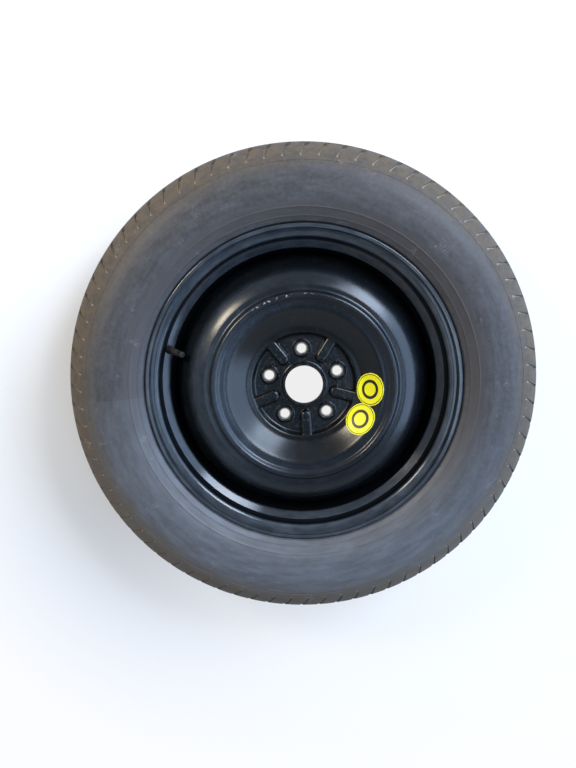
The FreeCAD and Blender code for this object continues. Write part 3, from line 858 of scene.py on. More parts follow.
@dataclass
class WheelDisc:
    """The pressed steel centre, with its bolt seats, ribs and collar."""

    rim: Rim
    hub_offset: float = 30.0
    gauge: float = 4.0
    bore: float = 60.1
    collar_height: float = 9.0
    plate_radius: float = 78.5
    flange_inset: float = 4.0
    flange_length: float = 10.0
    weld_fit: float = 0.05
    bolt_count: int = 5
    bolt_circle: float = 114.3
    bolt_hole: float = 14.6
    boss_height: float = 4.0
    seat_floor: float = 2.0
    rib_width: float = 20.0
    rib_height: float = 7.0
    rib_start: float = 42.0
    patch_inner: float = 39.0
    patch_outer: float = 88.0
    sector_steps: int = 72
    side_steps: int = 30

    @property
    def face(self) -> float:
        """Height of the hub plate's outboard face."""
        return self.hub_offset + self.gauge

    def corners(self) -> list[Pair]:
        """Corners of the outboard side from the collar's tip to the flange in the rim's well.

        Returns:
            The corners as (radius, height) pairs.
        """
        start = self.bore / 2 + self.gauge
        steps = [
            (0.0, -self.collar_height), (self.plate_radius - start, 0.0), (5.0, 9.0), (8.5, 1.5),
            (14.5, 10.2), (14.5, 12.3), (11.5, 1.5), (5.0, 5.5), (5.5, 0.0), (6.0, -7.5), (7.0, 0.3),
            (12.0, -4.8), (12.0, -8.5),
        ]
        path = np.vstack([[start, self.face + self.collar_height], steps]).cumsum(axis=0)
        flange = self.rim.well - self.rim.gauge - self.weld_fit
        top = self.rim.well_outboard - self.flange_inset
        return [tuple(p) for p in path] + [(flange, top), (flange, top - self.flange_length)]

    def sides(self) -> tuple[np.ndarray, np.ndarray]:
        """Sampled outboard and inboard sides of the sheet."""
        bends = [4.0, 4.0, 5.0, 20.0, 120.0, 20.0, 5.0, 5.0, 5.0, 5.0, 15.0, 50.0, 28.0, 15.0]
        return sheet_sides(self.corners(), bends, self.gauge)

    def outboard(self, radius: np.ndarray) -> np.ndarray:
        """Height of the outboard side at distances from the axis beyond the collar's foot."""
        side = self.sides()[0]
        beyond = side[side[:, 0].searchsorted(self.bore / 2 + self.gauge, side="right"):]
        return np.interp(radius, beyond[:, 0], beyond[:, 1])

    def slot_depth(self, x: np.ndarray, y: np.ndarray, start: float, width: float) -> np.ndarray:
        """Distance inside a bar along the local X axis with a round inner end, negative outside.

        Args:
            x: Distance along the bar's axis from the wheel's axis.
            y: Distance from the bar's axis.
            start: Where the bar's round end begins.
            width: The bar's width.

        Returns:
            Half the width less the distance from the bar's middle line.
        """
        before = np.minimum(x - start - width / 2, 0.0)
        return width / 2 - np.hypot(before, y)

    def rib_frame(self, x: np.ndarray, y: np.ndarray) -> tuple[np.ndarray, np.ndarray]:
        """Distances along and off the nearer rib of a sector whose bolt is on the local X axis."""
        turn = math.pi / self.bolt_count
        along = x * math.cos(turn) + np.abs(y) * math.sin(turn)
        return along, np.abs(y) * math.cos(turn) - x * math.sin(turn)

    def rib_lift(self, x: np.ndarray, y: np.ndarray) -> np.ndarray:
        """Height of the two half ribs at the edges of a sector whose bolt is on the local X axis.

        The rib rises as a quarter ellipse of its depth inside the slot's outline.

        Args:
            x: Local X.
            y: Local Y.

        Returns:
            The ribs' height above the plate.
        """
        flank = 5.5
        along, off = self.rib_frame(x, y)
        t = np.clip(self.slot_depth(along, off, self.rib_start, self.rib_width) / flank, 0.0, 1.0)
        return self.rib_height * np.sqrt(1 - (1 - t) ** 2)

    def pocket_lift(self, x: np.ndarray, y: np.ndarray) -> np.ndarray:
        """Depth of the hollows behind the ribs, as seen from the inboard side.

        Args:
            x: Local X.
            y: Local Y.

        Returns:
            The hollows' depth above the mounting face.
        """
        flank = 1.6
        along, off = self.rib_frame(x, y)
        width = self.rib_width - 2 * self.gauge
        inside = self.slot_depth(along, off, self.rib_start + self.gauge, width)
        inside = np.minimum(inside, self.plate_radius - self.gauge - along)
        t = np.clip(inside / flank, 0.0, 1.0)
        return self.rib_height * t * t * (3 - 2 * t)

    def boss_lift(self, reach: np.ndarray) -> np.ndarray:
        """Height of a bolt seat above the plate at distances from the hole's centre."""
        hole = self.bolt_hole / 2
        flare = (self.boss_height + self.seat_floor) * math.tan(math.radians(30.0))
        marks = [hole, hole + flare - 0.25, hole + flare + 0.35, 12.2, 12.9, 14.6, 15.6]
        lifts = [-self.seat_floor, self.boss_height - 0.4, self.boss_height, self.boss_height,
                 self.boss_height - 0.6, 0.45, 0.0]
        return np.interp(reach, marks, lifts)

    def sector_edge(self) -> np.ndarray:
        """Points round one sector of the plate, whose bolt is on the local X axis.

        The loop runs along the outer arc, down one side, back along the inner arc and up the other side.

        Returns:
            Points of the loop as (x, y) rows.
        """
        turn = math.pi / self.bolt_count
        sweep = np.linspace(-turn, turn, self.sector_steps + 1)[:-1]
        fall = np.linspace(self.patch_outer, self.patch_inner, self.side_steps + 1)[:-1]
        radius = np.concatenate([
            np.full(sweep.size, self.patch_outer), fall,
            np.full(sweep.size, self.patch_inner), (self.patch_outer + self.patch_inner) - fall,
        ])
        angle = np.concatenate([sweep, np.full(fall.size, turn), -sweep, np.full(fall.size, -turn)])
        return np.stack([radius * np.cos(angle), radius * np.sin(angle)], axis=-1)

    def sector(self, outboard: bool) -> np.ndarray:
        """One side of a sector as rays from the bolt hole's edge to the sector's edge.

        Every ray keeps the direction of its end point seen from the hole's centre. Along it the distance
        first steps through the bolt seat and then runs evenly to the end.

        Args:
            outboard: Whether the outboard side is wanted.

        Returns:
            A grid of points in the sector's local frame, one row for each step along the rays.
        """
        edge = self.sector_edge()
        centre = np.array([self.bolt_circle / 2, 0.0])
        reach = np.hypot(*(edge - centre).T)
        way = (edge - centre) / reach[:, None]
        hole = self.bolt_hole / 2
        near = hole + np.array([0.0, 0.9, 1.8, 2.7, 3.2, 3.5, 3.8, 4.4, 4.9, 5.25, 5.6, 6.4, 7.3, 7.8, 8.3])
        even = np.linspace(0.0, 1.0, 27)[1:] if outboard else np.linspace(0.0, 1.0, 13)[1:]
        near = near if outboard else near[[0, 7, 14]]
        steps = np.vstack([np.repeat(near[:, None], reach.size, axis=1),
                           near[-1] + even[:, None] * (reach - near[-1])])
        place = centre + way * steps[..., None]
        x, y = place[..., 0], place[..., 1]
        radius = np.hypot(x, y)
        if outboard:
            base = self.outboard(radius)
            height = np.maximum(base, self.face + self.rib_lift(x, y)) + self.boss_lift(steps)
        else:
            hidden = self.sides()[1]
            beyond = hidden[np.argmin(hidden[:, 1] > self.hub_offset + 0.01):]
            height = np.interp(radius, beyond[:, 0], beyond[:, 1]) + self.pocket_lift(x, y)
        return np.stack([x, y, height], axis=-1)

    def build(self, paint: bpy.types.Material) -> bpy.types.Object:
        """Join the spun collar and bowl to the sectors of the hub plate.

        Args:
            paint: The wheel's paint.

        Returns:
            The disc's object.
        """
        first = math.pi / 2
        sector_turn = TURN / self.bolt_count
        count = self.sector_steps * self.bolt_count
        angles = first - sector_turn / 2 + np.arange(count) * sector_turn / self.sector_steps
        out_grid, in_grid = self.sector(True), self.sector(False)
        seen, hidden = self.sides()
        out_edge = np.array([[self.patch_outer, out_grid[-1, 0, 2]]])
        in_edge = np.array([[self.patch_outer, in_grid[-1, 0, 2]]])
        inner_out = np.array([[self.patch_inner, self.face]])
        inner_in = np.array([[self.patch_inner, self.hub_offset]])
        collar = np.vstack([inner_out, seen[seen[:, 0] < self.patch_inner][::-1],
                            hidden[hidden[:, 0] < self.patch_inner], inner_in])
        bowl = np.vstack([out_edge, seen[seen[:, 0] > self.patch_outer],
                          hidden[hidden[:, 0] > self.patch_outer][::-1], in_edge])
        surface = Surface()
        surface.add(spun(collar, angles), wrap_columns=True)
        surface.add(spun(bowl, angles), wrap_columns=True)
        for i in range(self.bolt_count):
            c, s = math.cos(first + i * sector_turn), math.sin(first + i * sector_turn)
            spin = np.array([[c, s, 0.0], [-s, c, 0.0], [0.0, 0.0, 1.0]])
            surface.add(out_grid @ spin, wrap_columns=True)
            surface.add(in_grid @ spin, wrap_columns=True)
            surface.add(np.stack([out_grid[0], in_grid[0]]) @ spin, wrap_columns=True)
        return surface.build("disc_pressing", paint)


@dataclass
class WeldRuns:
    """The fillet welds between the disc's flange and the rim's well, on the inboard side."""

    disc: WheelDisc
    count: int = 4
    span_deg: float = 46.0
    leg: float = 4.5
    ripple_mm: float = 2.2
    ripple_height: float = 0.22
    lean_mm: float = 1.1
    fullness: float = 0.86
    end_taper: float = 40.0
    end_least: float = 0.02
    steps: int = 420

    def build(self, paint: bpy.types.Material) -> bpy.types.Object:
        """Carry a quarter-round bead along each arc, with ripples that lean back as a weld's do.

        The bead's corner distance is its leg times a full quarter ellipse, swelled by a cosine of the arc's
        length and narrowed to nothing at both ends.

        Args:
            paint: The weld's paint.

        Returns:
            The weld runs as one object.
        """
        flange, low = self.disc.corners()[-1]
        wall = self.disc.rim.well - self.disc.rim.gauge
        t = np.linspace(0.0, math.pi / 2, 9)[:, None]
        along = np.linspace(0.0, 1.0, self.steps)
        arc_mm = along * math.radians(self.span_deg) * flange
        lean = self.lean_mm * np.sin(2 * t)
        swell = 1 + self.ripple_height / self.leg * np.cos(TURN * (arc_mm - lean) / self.ripple_mm)
        ends = np.clip(np.minimum(along, 1 - along) * self.end_taper, self.end_least, 1.0) ** 0.5
        reach = self.leg * self.fullness * swell * ends
        radius = wall - reach * np.cos(t)
        height = low - reach * np.sin(t)
        surface = Surface()
        for i in range(self.count):
            angle = i * TURN / self.count + along * math.radians(self.span_deg)
            bead = np.stack([radius * np.cos(angle), radius * np.sin(angle), height], axis=-1)
            root = np.stack([wall * np.cos(angle), wall * np.sin(angle), low + 0 * angle], axis=-1)[None]
            surface.add(np.vstack([root, bead]), wrap_rows=True)
            for end in (0, -1):
                fan = np.vstack([root, bead])[:, end]
                surface.add(np.stack([fan, np.repeat(fan[:1], len(fan), axis=0)]))
        return surface.build("weld_runs", paint, 60.0)


@dataclass
class Tyre:
    """The bias-ply casing with its grooved tread, slit shoulders and plain sidewalls."""

    rim: Rim
    diameter: float = 754.0
    section_width: float = 165.0
    tread_half: float = 52.0
    edge_drop: float = 11.0
    widest: float = 305.0
    rest_band: float = 10.0
    crown_gauge: float = 13.0
    sidewall_gauge: float = 7.0
    bead_width: float = 18.0
    root_gauge: float = 13.0
    root_lift: float = 2.0
    clearance: float = 0.2
    groove_places: tuple[float, float] = (14.0, 36.0)
    groove_width: float = 6.0
    groove_depth: float = 5.0
    notch_count: int = 80
    notch_width: float = 6.0
    notch_depth: float = 4.0
    notch_length: float = 17.0
    notch_rise: float = 0.22
    shoulder_slope_deg: float = 40.0
    slit_width: float = 2.5
    slit_depth: float = 1.3
    slit_length: float = 30.0
    slit_lean_deg: float = 22.0
    line_radius: float = 334.0
    line_width: float = 2.0
    line_depth: float = 0.4
    ring_places: tuple[float, float] = (257.0, 269.0)
    ring_height: float = 0.6
    columns: int = 6

    @property
    def radius(self) -> float:
        """Outer radius at the middle of the tread."""
        return self.diameter / 2

    @property
    def half(self) -> float:
        """Half the section width."""
        return self.section_width / 2

    @property
    def edge(self) -> Pair:
        """The tread's outboard edge."""
        return (self.radius - self.edge_drop, self.tread_half)

    @property
    def high(self) -> Pair:
        """The sidewall's widest band on the tread's side."""
        return (self.widest + self.rest_band / 2, self.half)

    def tread(self) -> np.ndarray:
        """Samples of the tread from its middle to its edge, with the grooves' square sections.

        The tread is an arc through the crown that drops to both edges.

        Returns:
            An array of (radius, height) samples.
        """
        lip, dip, edge_run = 0.25, 0.15, 3.0
        half = self.groove_width / 2
        heights, depths = [0.0], [0.0]
        for place in self.groove_places:
            heights += [place - half - lip, place - half, place - half + lip,
                        place + half - lip, place + half, place + half + lip]
            depths += [0.0, dip, self.groove_depth, self.groove_depth, dip, 0.0]
        notch_end = self.tread_half - self.notch_length / 2
        heights += [notch_end - lip, notch_end + lip, self.tread_half - edge_run, self.tread_half]
        depths += [0.0, 0.0, 0.0, 0.0]
        height = np.array(heights)
        sweep = (self.tread_half ** 2 + self.edge_drop ** 2) / (2 * self.edge_drop)
        crown = self.radius - sweep + np.sqrt(sweep ** 2 - height ** 2)
        return np.stack([crown - np.array(depths), height], axis=-1)

    @staticmethod
    def flank(end: Pair, widest: Pair, radius: np.ndarray) -> np.ndarray:
        """Samples of the arc that leaves the widest point square to the axis and ends at another point.

        The arc's size is half the squared chord over the rise, and its centre is inboard of the widest point.

        Args:
            end: The arc's other end.
            widest: The widest point.
            radius: Distances from the wheel's axis.

        Returns:
            An array of (radius, height) samples.
        """
        run, rise = widest[0] - end[0], widest[1] - end[1]
        sweep = (run * run + rise * rise) / (2 * rise)
        height = widest[1] - sweep + np.sqrt(sweep ** 2 - (radius - widest[0]) ** 2)
        return np.stack([radius, height], axis=-1)

    def shoulder(self) -> np.ndarray:
        """Samples from the tread's edge to the widest band, with the shallow ring where the shoulder ends.

        Returns:
            An array of (radius, height) samples.
        """
        lip = 0.2
        half = self.line_width / 2
        marks = [364.0, 361.0, 359.2, 358.6, 355.0, 351.0, 348.0, 345.2, 344.6, 341.0, 338.0]
        ring = [self.line_radius + half + lip, self.line_radius + half - lip,
                self.line_radius - half + lip, self.line_radius - half - lip]
        below = [328.0, 323.0, 318.0, 314.0, self.high[0]]
        side = self.flank(self.edge, self.high, np.array(marks + ring + below))
        side[len(marks) + 1:len(marks) + 3, 1] -= self.line_depth
        return side

    def sidewall(self) -> np.ndarray:
        """Samples from the widest band to the bead's root, with the small raised rings that a mould leaves.

        Returns:
            An array of (radius, height) samples.
        """
        low = (self.widest - self.rest_band / 2, self.half)
        swell = np.array([1.6, 0.8, 0.0, -0.8, -1.6])
        plain = np.array([low[0], 294.0, 288.0, 282.0, 276.0, 272.0, 264.0, 261.0, 253.6])
        radius = np.sort(np.concatenate([plain, *(swell + p for p in self.ring_places)]))[::-1]
        side = self.flank(self.root, low, np.append(radius, self.root[0]))
        for place in self.ring_places:
            side[:, 1] += self.ring_height * np.exp(-((side[:, 0] - place) / swell[1]) ** 2)
        return side

    @property
    def root(self) -> Pair:
        """Where the sidewall meets the rim's lip."""
        over = self.rim.flange + self.clearance
        return (over + self.root_lift, self.rim.half + self.rim.lip_width + self.root_lift)

    def inside(self) -> np.ndarray:
        """Samples from the bead's root round its foot and along the air side to the middle plane.

        Returns:
            An array of (radius, height) samples.
        """
        taper = math.tan(math.radians(self.rim.seat_taper_deg))
        over, wall = self.rim.flange + self.clearance, self.rim.half - self.clearance
        heel = (self.rim.seat + self.clearance, wall)
        toe = (heel[0] - self.bead_width * taper, wall - self.bead_width)
        bead = [self.root, (over, self.rim.half + self.rim.lip_width / 2), (over, wall), heel, toe]
        bends = fitted_bends(bead, [1.0, self.rim.curl + self.clearance, self.rim.heel_bend - self.clearance])
        foot = (self.root[0] + self.root_gauge / 2, self.root[1] - self.root_gauge)
        wide = (self.widest, self.half - self.sidewall_gauge)
        rim_edge = (self.edge[0] - self.crown_gauge, self.tread_half - self.crown_gauge / 4)
        return np.vstack([bent_path(bead, bends, 18.0)[1:],
                          self.flank(foot, wide, np.linspace(foot[0], wide[0], 5)),
                          self.flank(rim_edge, wide, np.linspace(wide[0], rim_edge[0], 5))[1:],
                          [[self.radius - self.crown_gauge, 0.0]]])

    def half_grid(self, side: int) -> tuple[np.ndarray, np.ndarray]:
        """One half of the tyre: its section spun round the axis, with the notches pressed in.

        Columns are even at the middle plane. Towards the shoulder they close in on the notches' flanks and
        lean with the slits. There the samples between the flanks are pressed in along the shoulder's slope.

        Args:
            side: One for the outboard half, minus one for the inboard half.

        Returns:
            A grid of points, one row for each sample of the section, and flat coordinates that say how much
            dust lies in the slits.
        """
        tread, shoulder = self.tread(), self.shoulder()
        section = np.vstack([tread, shoulder, self.sidewall(), self.inside()])
        row = np.arange(len(section))[:, None]
        step = np.hypot(*np.diff(section, axis=0).T)
        along = np.concatenate([[0.0], step]).cumsum()[:, None]
        along = along - along[len(tread) - 1]
        outer = row < len(tread) + len(shoulder)
        notch = outer & (np.abs(along) < self.notch_length / 2)
        slit = outer & (along > 0) & (along < self.slit_length + 1.0)
        width = np.where(notch, self.notch_width, self.slit_width)
        off = np.maximum(np.maximum(-self.notch_length / 2 - along, along - self.slit_length), 0.0)
        share = np.clip(1 - off / self.slit_length, 0.0, 1.0)
        pitch = TURN / self.notch_count
        even = (np.arange(self.columns) - (self.columns - 1) / 2) * pitch / self.columns
        lip = 0.3
        flank = np.concatenate([-width / 2 - lip, -width / 2 + lip, width / 2 - lip, width / 2 + lip], axis=1)
        close = np.concatenate([even[:1] + 0 * width, flank / self.edge[0], even[-1:] + 0 * width], axis=1)
        slant = math.tan(math.radians(self.slit_lean_deg))
        lean = np.clip(along, 0.0, self.slit_length) * slant / self.edge[0]
        local = even * (1 - share) + (close + lean) * share
        first = 0.0 if side > 0 else pitch / 2
        start = np.repeat(np.arange(self.notch_count), self.columns) * pitch + first
        angle = start + np.tile(local, (1, self.notch_count))
        bow = along * (self.slit_length - along) / (2 * math.dist(self.edge, self.high))
        notch_deep = np.where(notch, self.notch_depth - self.notch_rise * np.maximum(along, 0.0), 0.0)
        deep = np.maximum(notch_deep, np.where(slit, self.slit_depth + bow, 0.0))
        between = np.tile([0.0, 0.0, 1.0, 1.0, 0.0, 0.0], self.notch_count)
        tread_slope = 2 * math.atan2(self.edge_drop, self.tread_half)
        slope = np.where(along > 0, math.radians(self.shoulder_slope_deg), tread_slope)
        radius = section[:, :1] - deep * between * np.cos(slope)
        height = section[:, 1:] - deep * between * np.sin(slope)
        points = np.stack([radius * np.cos(angle), radius * np.sin(angle), side * height], axis=-1)
        dust_from, dust_fade = 6.0, 8.0
        packed = between * np.where(slit, np.clip((along - dust_from) / dust_fade, 0.0, 1.0), 0.0)
        return points, np.stack([packed, 0 * packed], axis=-1)

    def build(self, rubber: bpy.types.Material) -> bpy.types.Object:
        """Join both halves of the tyre in the middle plane.

        Args:
            rubber: The tyre's rubber.

        Returns:
            The tyre's object.
        """
        surface = Surface()
        for side in (1, -1):
            points, packed = self.half_grid(side)
            surface.add(points, wrap_columns=True, flat=packed)
        return surface.build("tyre_casing", rubber, 34.0)


@dataclass
class Valve:
    """The snap-in valve on its own slanted axis, which the cap's joint gives."""

    axis: Vector
    pivot: Vector
    pivot_height: float = 34.5
    hole: float = 11.5
    fit: float = 0.25
    rim_gauge: float = 2.6
    bulb_depth: float = 6.5
    rubber_height: float = 24.0
    stem: float = 7.7
    stem_height: float = 34.0
    thread_pitch: float = 0.794
    thread_depth: float = 0.42
    cap: float = 9.8
    cap_low: float = 24.2
    cap_top: float = 36.4
    cap_ceiling: float = 35.0
    cap_bore: float = 7.94
    flutes: int = 28
    flute_depth: float = 0.36
    facets: int = 112
    spring_low: float = 24.2
    spring_high: float = 30.4
    spring_radius: float = 1.01
    spring_turns: int = 5
    wire: float = 0.34
    spring_play: float = 0.06
    spring_keep: float = 0.8

    def local(self) -> tuple[np.ndarray, np.ndarray, np.ndarray, np.ndarray]:
        """The valve's own frame.

        Returns:
            Its origin on the rim's outer face in millimetres, two directions across its axis, and the axis.
        """
        axis = np.array(self.axis.normalized())
        across = np.cross(axis, [0.0, 0.0, 1.0])
        across /= np.linalg.norm(across)
        return np.array(self.pivot) / MM - axis * self.pivot_height, across, np.cross(axis, across), axis

    def turned(self, section: np.ndarray, swell: np.ndarray | float = 0.0) -> np.ndarray:
        """Turn a section about the valve's axis and put it in place.

        Args:
            section: Samples as (radius, height) pairs, the height measured from the rim's outer face.
            swell: Change of radius by sample and angle.

        Returns:
            A grid of points in the wheel's frame, in millimetres.
        """
        origin, across, third, axis = self.local()
        angle = np.arange(self.facets) * TURN / self.facets
        radius = (section[:, :1] + swell + 0 * angle)[..., None]
        ring = np.cos(angle)[None, :, None] * across + np.sin(angle)[None, :, None] * third
        return origin + radius * ring + section[:, 1:, None] * axis

    def finished(self, name: str, grid: np.ndarray, material: bpy.types.Material) -> bpy.types.Object:
        """Make one closed turned piece of a grid and dress it."""
        surface = Surface()
        surface.add(grid, wrap_rows=True, wrap_columns=True)
        return surface.build(name, material)

    def build_trunk(self, rubber: bpy.types.Material) -> bpy.types.Object:
        """Turn the rubber's section: bulb, neck, collar and tapered trunk with rounded corners.

        Args:
            rubber: The valve's rubber.

        Returns:
            The trunk's object.
        """
        inside, neck, bore = -self.rim_gauge - self.fit, self.hole / 2 - self.fit, 3.2
        bulb, belly, collar, shank, tip = 6.3, 7.8, 6.8, 5.5, 4.8
        low, collar_top, shank_foot = inside - self.bulb_depth, 3.2, 7.0
        corners = [(bore, low), (bulb, low), (belly, (low + inside) / 2), (bulb, inside), (neck, inside),
                   (neck, self.fit), (collar, self.fit), (collar, collar_top), (shank, shank_foot),
                   (tip, self.rubber_height), (bore, self.rubber_height)]
        bends = fitted_bends(corners, [1.2, 1.6, 1.0, 0.1, 0.1, 0.5, 1.2, 3.0, 0.8])
        return self.finished("valve_trunk", self.turned(bent_path(corners, bends, 12.0)), rubber)

    def build_stem(self, brass: bpy.types.Material) -> bpy.types.Object:
        """Turn the brass stem, with a helical thread under the cap.

        The thread's groove is a triangle wave of height over pitch less the angle over a full turn.

        Args:
            brass: The stem's metal.

        Returns:
            The stem's object.
        """
        foot, root, bore = -self.rim_gauge - self.fit - self.bulb_depth, 3.2, 1.6
        top = self.stem / 2
        thread = np.linspace(self.rubber_height + 0.6, self.stem_height - 0.5, 84)
        mouth, barrel = 2.6, 1.86
        outside = np.vstack([
            [[bore, foot], [root, foot], [root, self.rubber_height], [top, self.rubber_height]],
            np.stack([np.full(thread.size, top), thread], axis=-1),
            [[top - 0.35, self.stem_height], [mouth, self.stem_height], [mouth, 23.0], [barrel, 22.0],
             [barrel, 14.4], [bore, 12.8]],
        ])
        angle = np.arange(self.facets) / self.facets
        phase = (outside[:, 1:] / self.thread_pitch - angle) % 1.0
        threaded = (np.arange(len(outside)) >= 4) & (np.arange(len(outside)) < 4 + thread.size)
        cut = -self.thread_depth * np.abs(2 * phase - 1) * threaded[:, None]
        return self.finished("valve_stem_threaded", self.turned(outside, cut), brass)

    def build_cap(self, plastic: bpy.types.Material) -> bpy.types.Object:
        """Turn the cap's shell, with round flutes pressed into its skirt.

        The flutes lower the outer wall by their depth times a raised cosine of the angle.

        Args:
            plastic: The cap's plastic.

        Returns:
            The cap's object.
        """
        outer, bore = self.cap / 2, self.cap_bore / 2
        centre, foot_bend, top_bend, skirt_foot, skirt_end = 0.02, 0.3, 0.9, 0.9, 2.2
        corners = [(bore, self.cap_low), (outer, self.cap_low), (outer, self.cap_top), (centre, self.cap_top)]
        shell = bent_path(corners, fitted_bends(corners, [foot_bend, top_bend]), 15.0)
        skirt = np.linspace(self.cap_low + skirt_foot, self.cap_top - skirt_end, 8)
        cut = int(np.argmax(shell[:, 1] > self.cap_low + foot_bend + 0.2))
        shell = np.vstack([shell[:cut], np.stack([np.full(skirt.size, outer), skirt], axis=-1), shell[cut:],
                           [[centre, self.cap_ceiling], [bore, self.cap_ceiling]]])
        fade = np.zeros(len(shell))
        fade[cut:cut + skirt.size] = [0.0, 0.7, 1.0, 1.0, 1.0, 1.0, 0.7, 0.0]
        angle = np.arange(self.facets) * TURN / self.facets
        swell = -self.flute_depth * fade[:, None] * (0.5 + 0.5 * np.cos(self.flutes * angle))
        return self.finished("valve_cap_fluted", self.turned(shell, swell), plastic)

    def build_spring(self, steel: bpy.types.Material) -> bpy.types.Object:
        """Sweep the core's spring: a round wire along a helix, closed to a point at both ends.

        Args:
            steel: The wire's metal.

        Returns:
            The spring's object.
        """
        origin, across, third, axis = self.local()
        inset = self.wire / 2 + self.spring_play
        along = np.linspace(0.0, 1.0, 28 * self.spring_turns + 1)
        along = np.concatenate([along[:1], along, along[-1:]])
        thick = np.full(along.size, self.wire / 2)
        thick[[0, -1]] = 0.0
        lap = np.arange(10) * TURN / 10
        turn = (TURN * self.spring_turns * along)[:, None, None]
        radius = self.spring_radius + thick[:, None] * np.cos(lap)
        height = (self.spring_low + inset + (self.spring_high - self.spring_low - 2 * inset) * along[:, None]
                  + thick[:, None] * np.sin(lap))
        outward = np.cos(turn) * across + np.sin(turn) * third
        grid = origin + radius[..., None] * outward + height[..., None] * axis
        surface = Surface()
        surface.add(grid, wrap_columns=True)
        return surface.build("coil_spring", steel)

    def press(self, spring: bpy.types.Object) -> None:
        """Give the spring a mesh of its own.

        Args:
            spring: The spring's object.
        """
        origin, _, _, axis = self.local()
        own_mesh(spring)


@dataclass
class Sticker:
    """The yellow two-lobed sticker that follows the bowl's wall."""

    disc: WheelDisc
    thickness: float = 0.2
    lift: float = 0.06
    radius: float = 103.5
    angle_deg: float = -21.4
    pitch_deg: float = 27.7
    tangent: float = 52.0
    radial: float = 39.0
    rings: int = 26
    spokes: int = 96

    def lobe(self, side: int) -> tuple[np.ndarray, np.ndarray]:
        """Polar grid of one lobe, cut where it meets the other.

        Every spoke runs from the lobe's centre to its oval edge or to the line between the lobes. Heights
        follow the bowl's wall.

        Args:
            side: Minus one or plus one, for the two lobes.

        Returns:
            Points of the film's outer face, and their flat coordinates in millimetres.
        """
        spoke = np.arange(self.spokes) * TURN / self.spokes
        x, y = self.radial / 2 * np.cos(spoke), self.tangent / 2 * np.sin(spoke)
        half_pitch = math.radians(self.pitch_deg) / 2
        line_x, line_y = -math.sin(half_pitch) * side, -math.cos(half_pitch) * side
        gap = self.radius * math.sin(half_pitch)
        toward = x * line_x + y * line_y
        limit = np.where(toward > gap, gap / np.maximum(toward, 1e-6), 1.0)
        share = np.linspace(0.0, 1.0, self.rings)[:, None] * limit
        near_x, near_y = self.radius + x * share, y * share
        centre = math.radians(self.angle_deg) + side * half_pitch
        c, s = math.cos(centre), math.sin(centre)
        height = self.disc.outboard(np.hypot(near_x, near_y)) + self.lift + self.thickness
        points = np.stack([near_x * c - near_y * s, near_x * s + near_y * c, height], axis=-1)
        stretch = self.tangent / self.radial
        return points, np.stack([x * share * stretch, y * share], axis=-1)

    def build(self, film: bpy.types.Material) -> bpy.types.Object:
        """Join both lobes and give the film its thickness.

        Args:
            film: The printed film.

        Returns:
            The sticker's object.
        """
        surface = Surface()
        for side in (-1, 1):
            points, flat = self.lobe(side)
            surface.add(points, wrap_columns=True, flat=flat)
        piece = surface.build("sticker_film", film, 80.0)
        solid = piece.modifiers.new("film thickness", "SOLIDIFY")
        solid.thickness = self.thickness * MM
        solid.offset = -1.0
        return piece


@dataclass(frozen=True)
class Lamp:
    """A soft rectangular lamp that faces the wheel."""

    name: str
    place: tuple[float, float, float]
    size: Pair
    watts: float
    colour: str

    def build(self) -> bpy.types.Object:
        """Make the lamp and turn it to the wheel's centre.

        Returns:
            The lamp's object.
        """
        light = bpy.data.lights.new(self.name, "AREA")
        light.shape = "RECTANGLE"
        light.size, light.size_y = self.size[0] * MM, self.size[1] * MM
        light.energy = self.watts
        light.color = linear(self.colour)[:3]
        lamp = bpy.data.objects.new(self.name, light)
        lamp.location = Vector(self.place) * MM
        lamp.rotation_euler = (-lamp.location).to_track_quat("-Z", "Y").to_euler()
        bpy.context.scene.collection.objects.link(lamp)
        return lamp


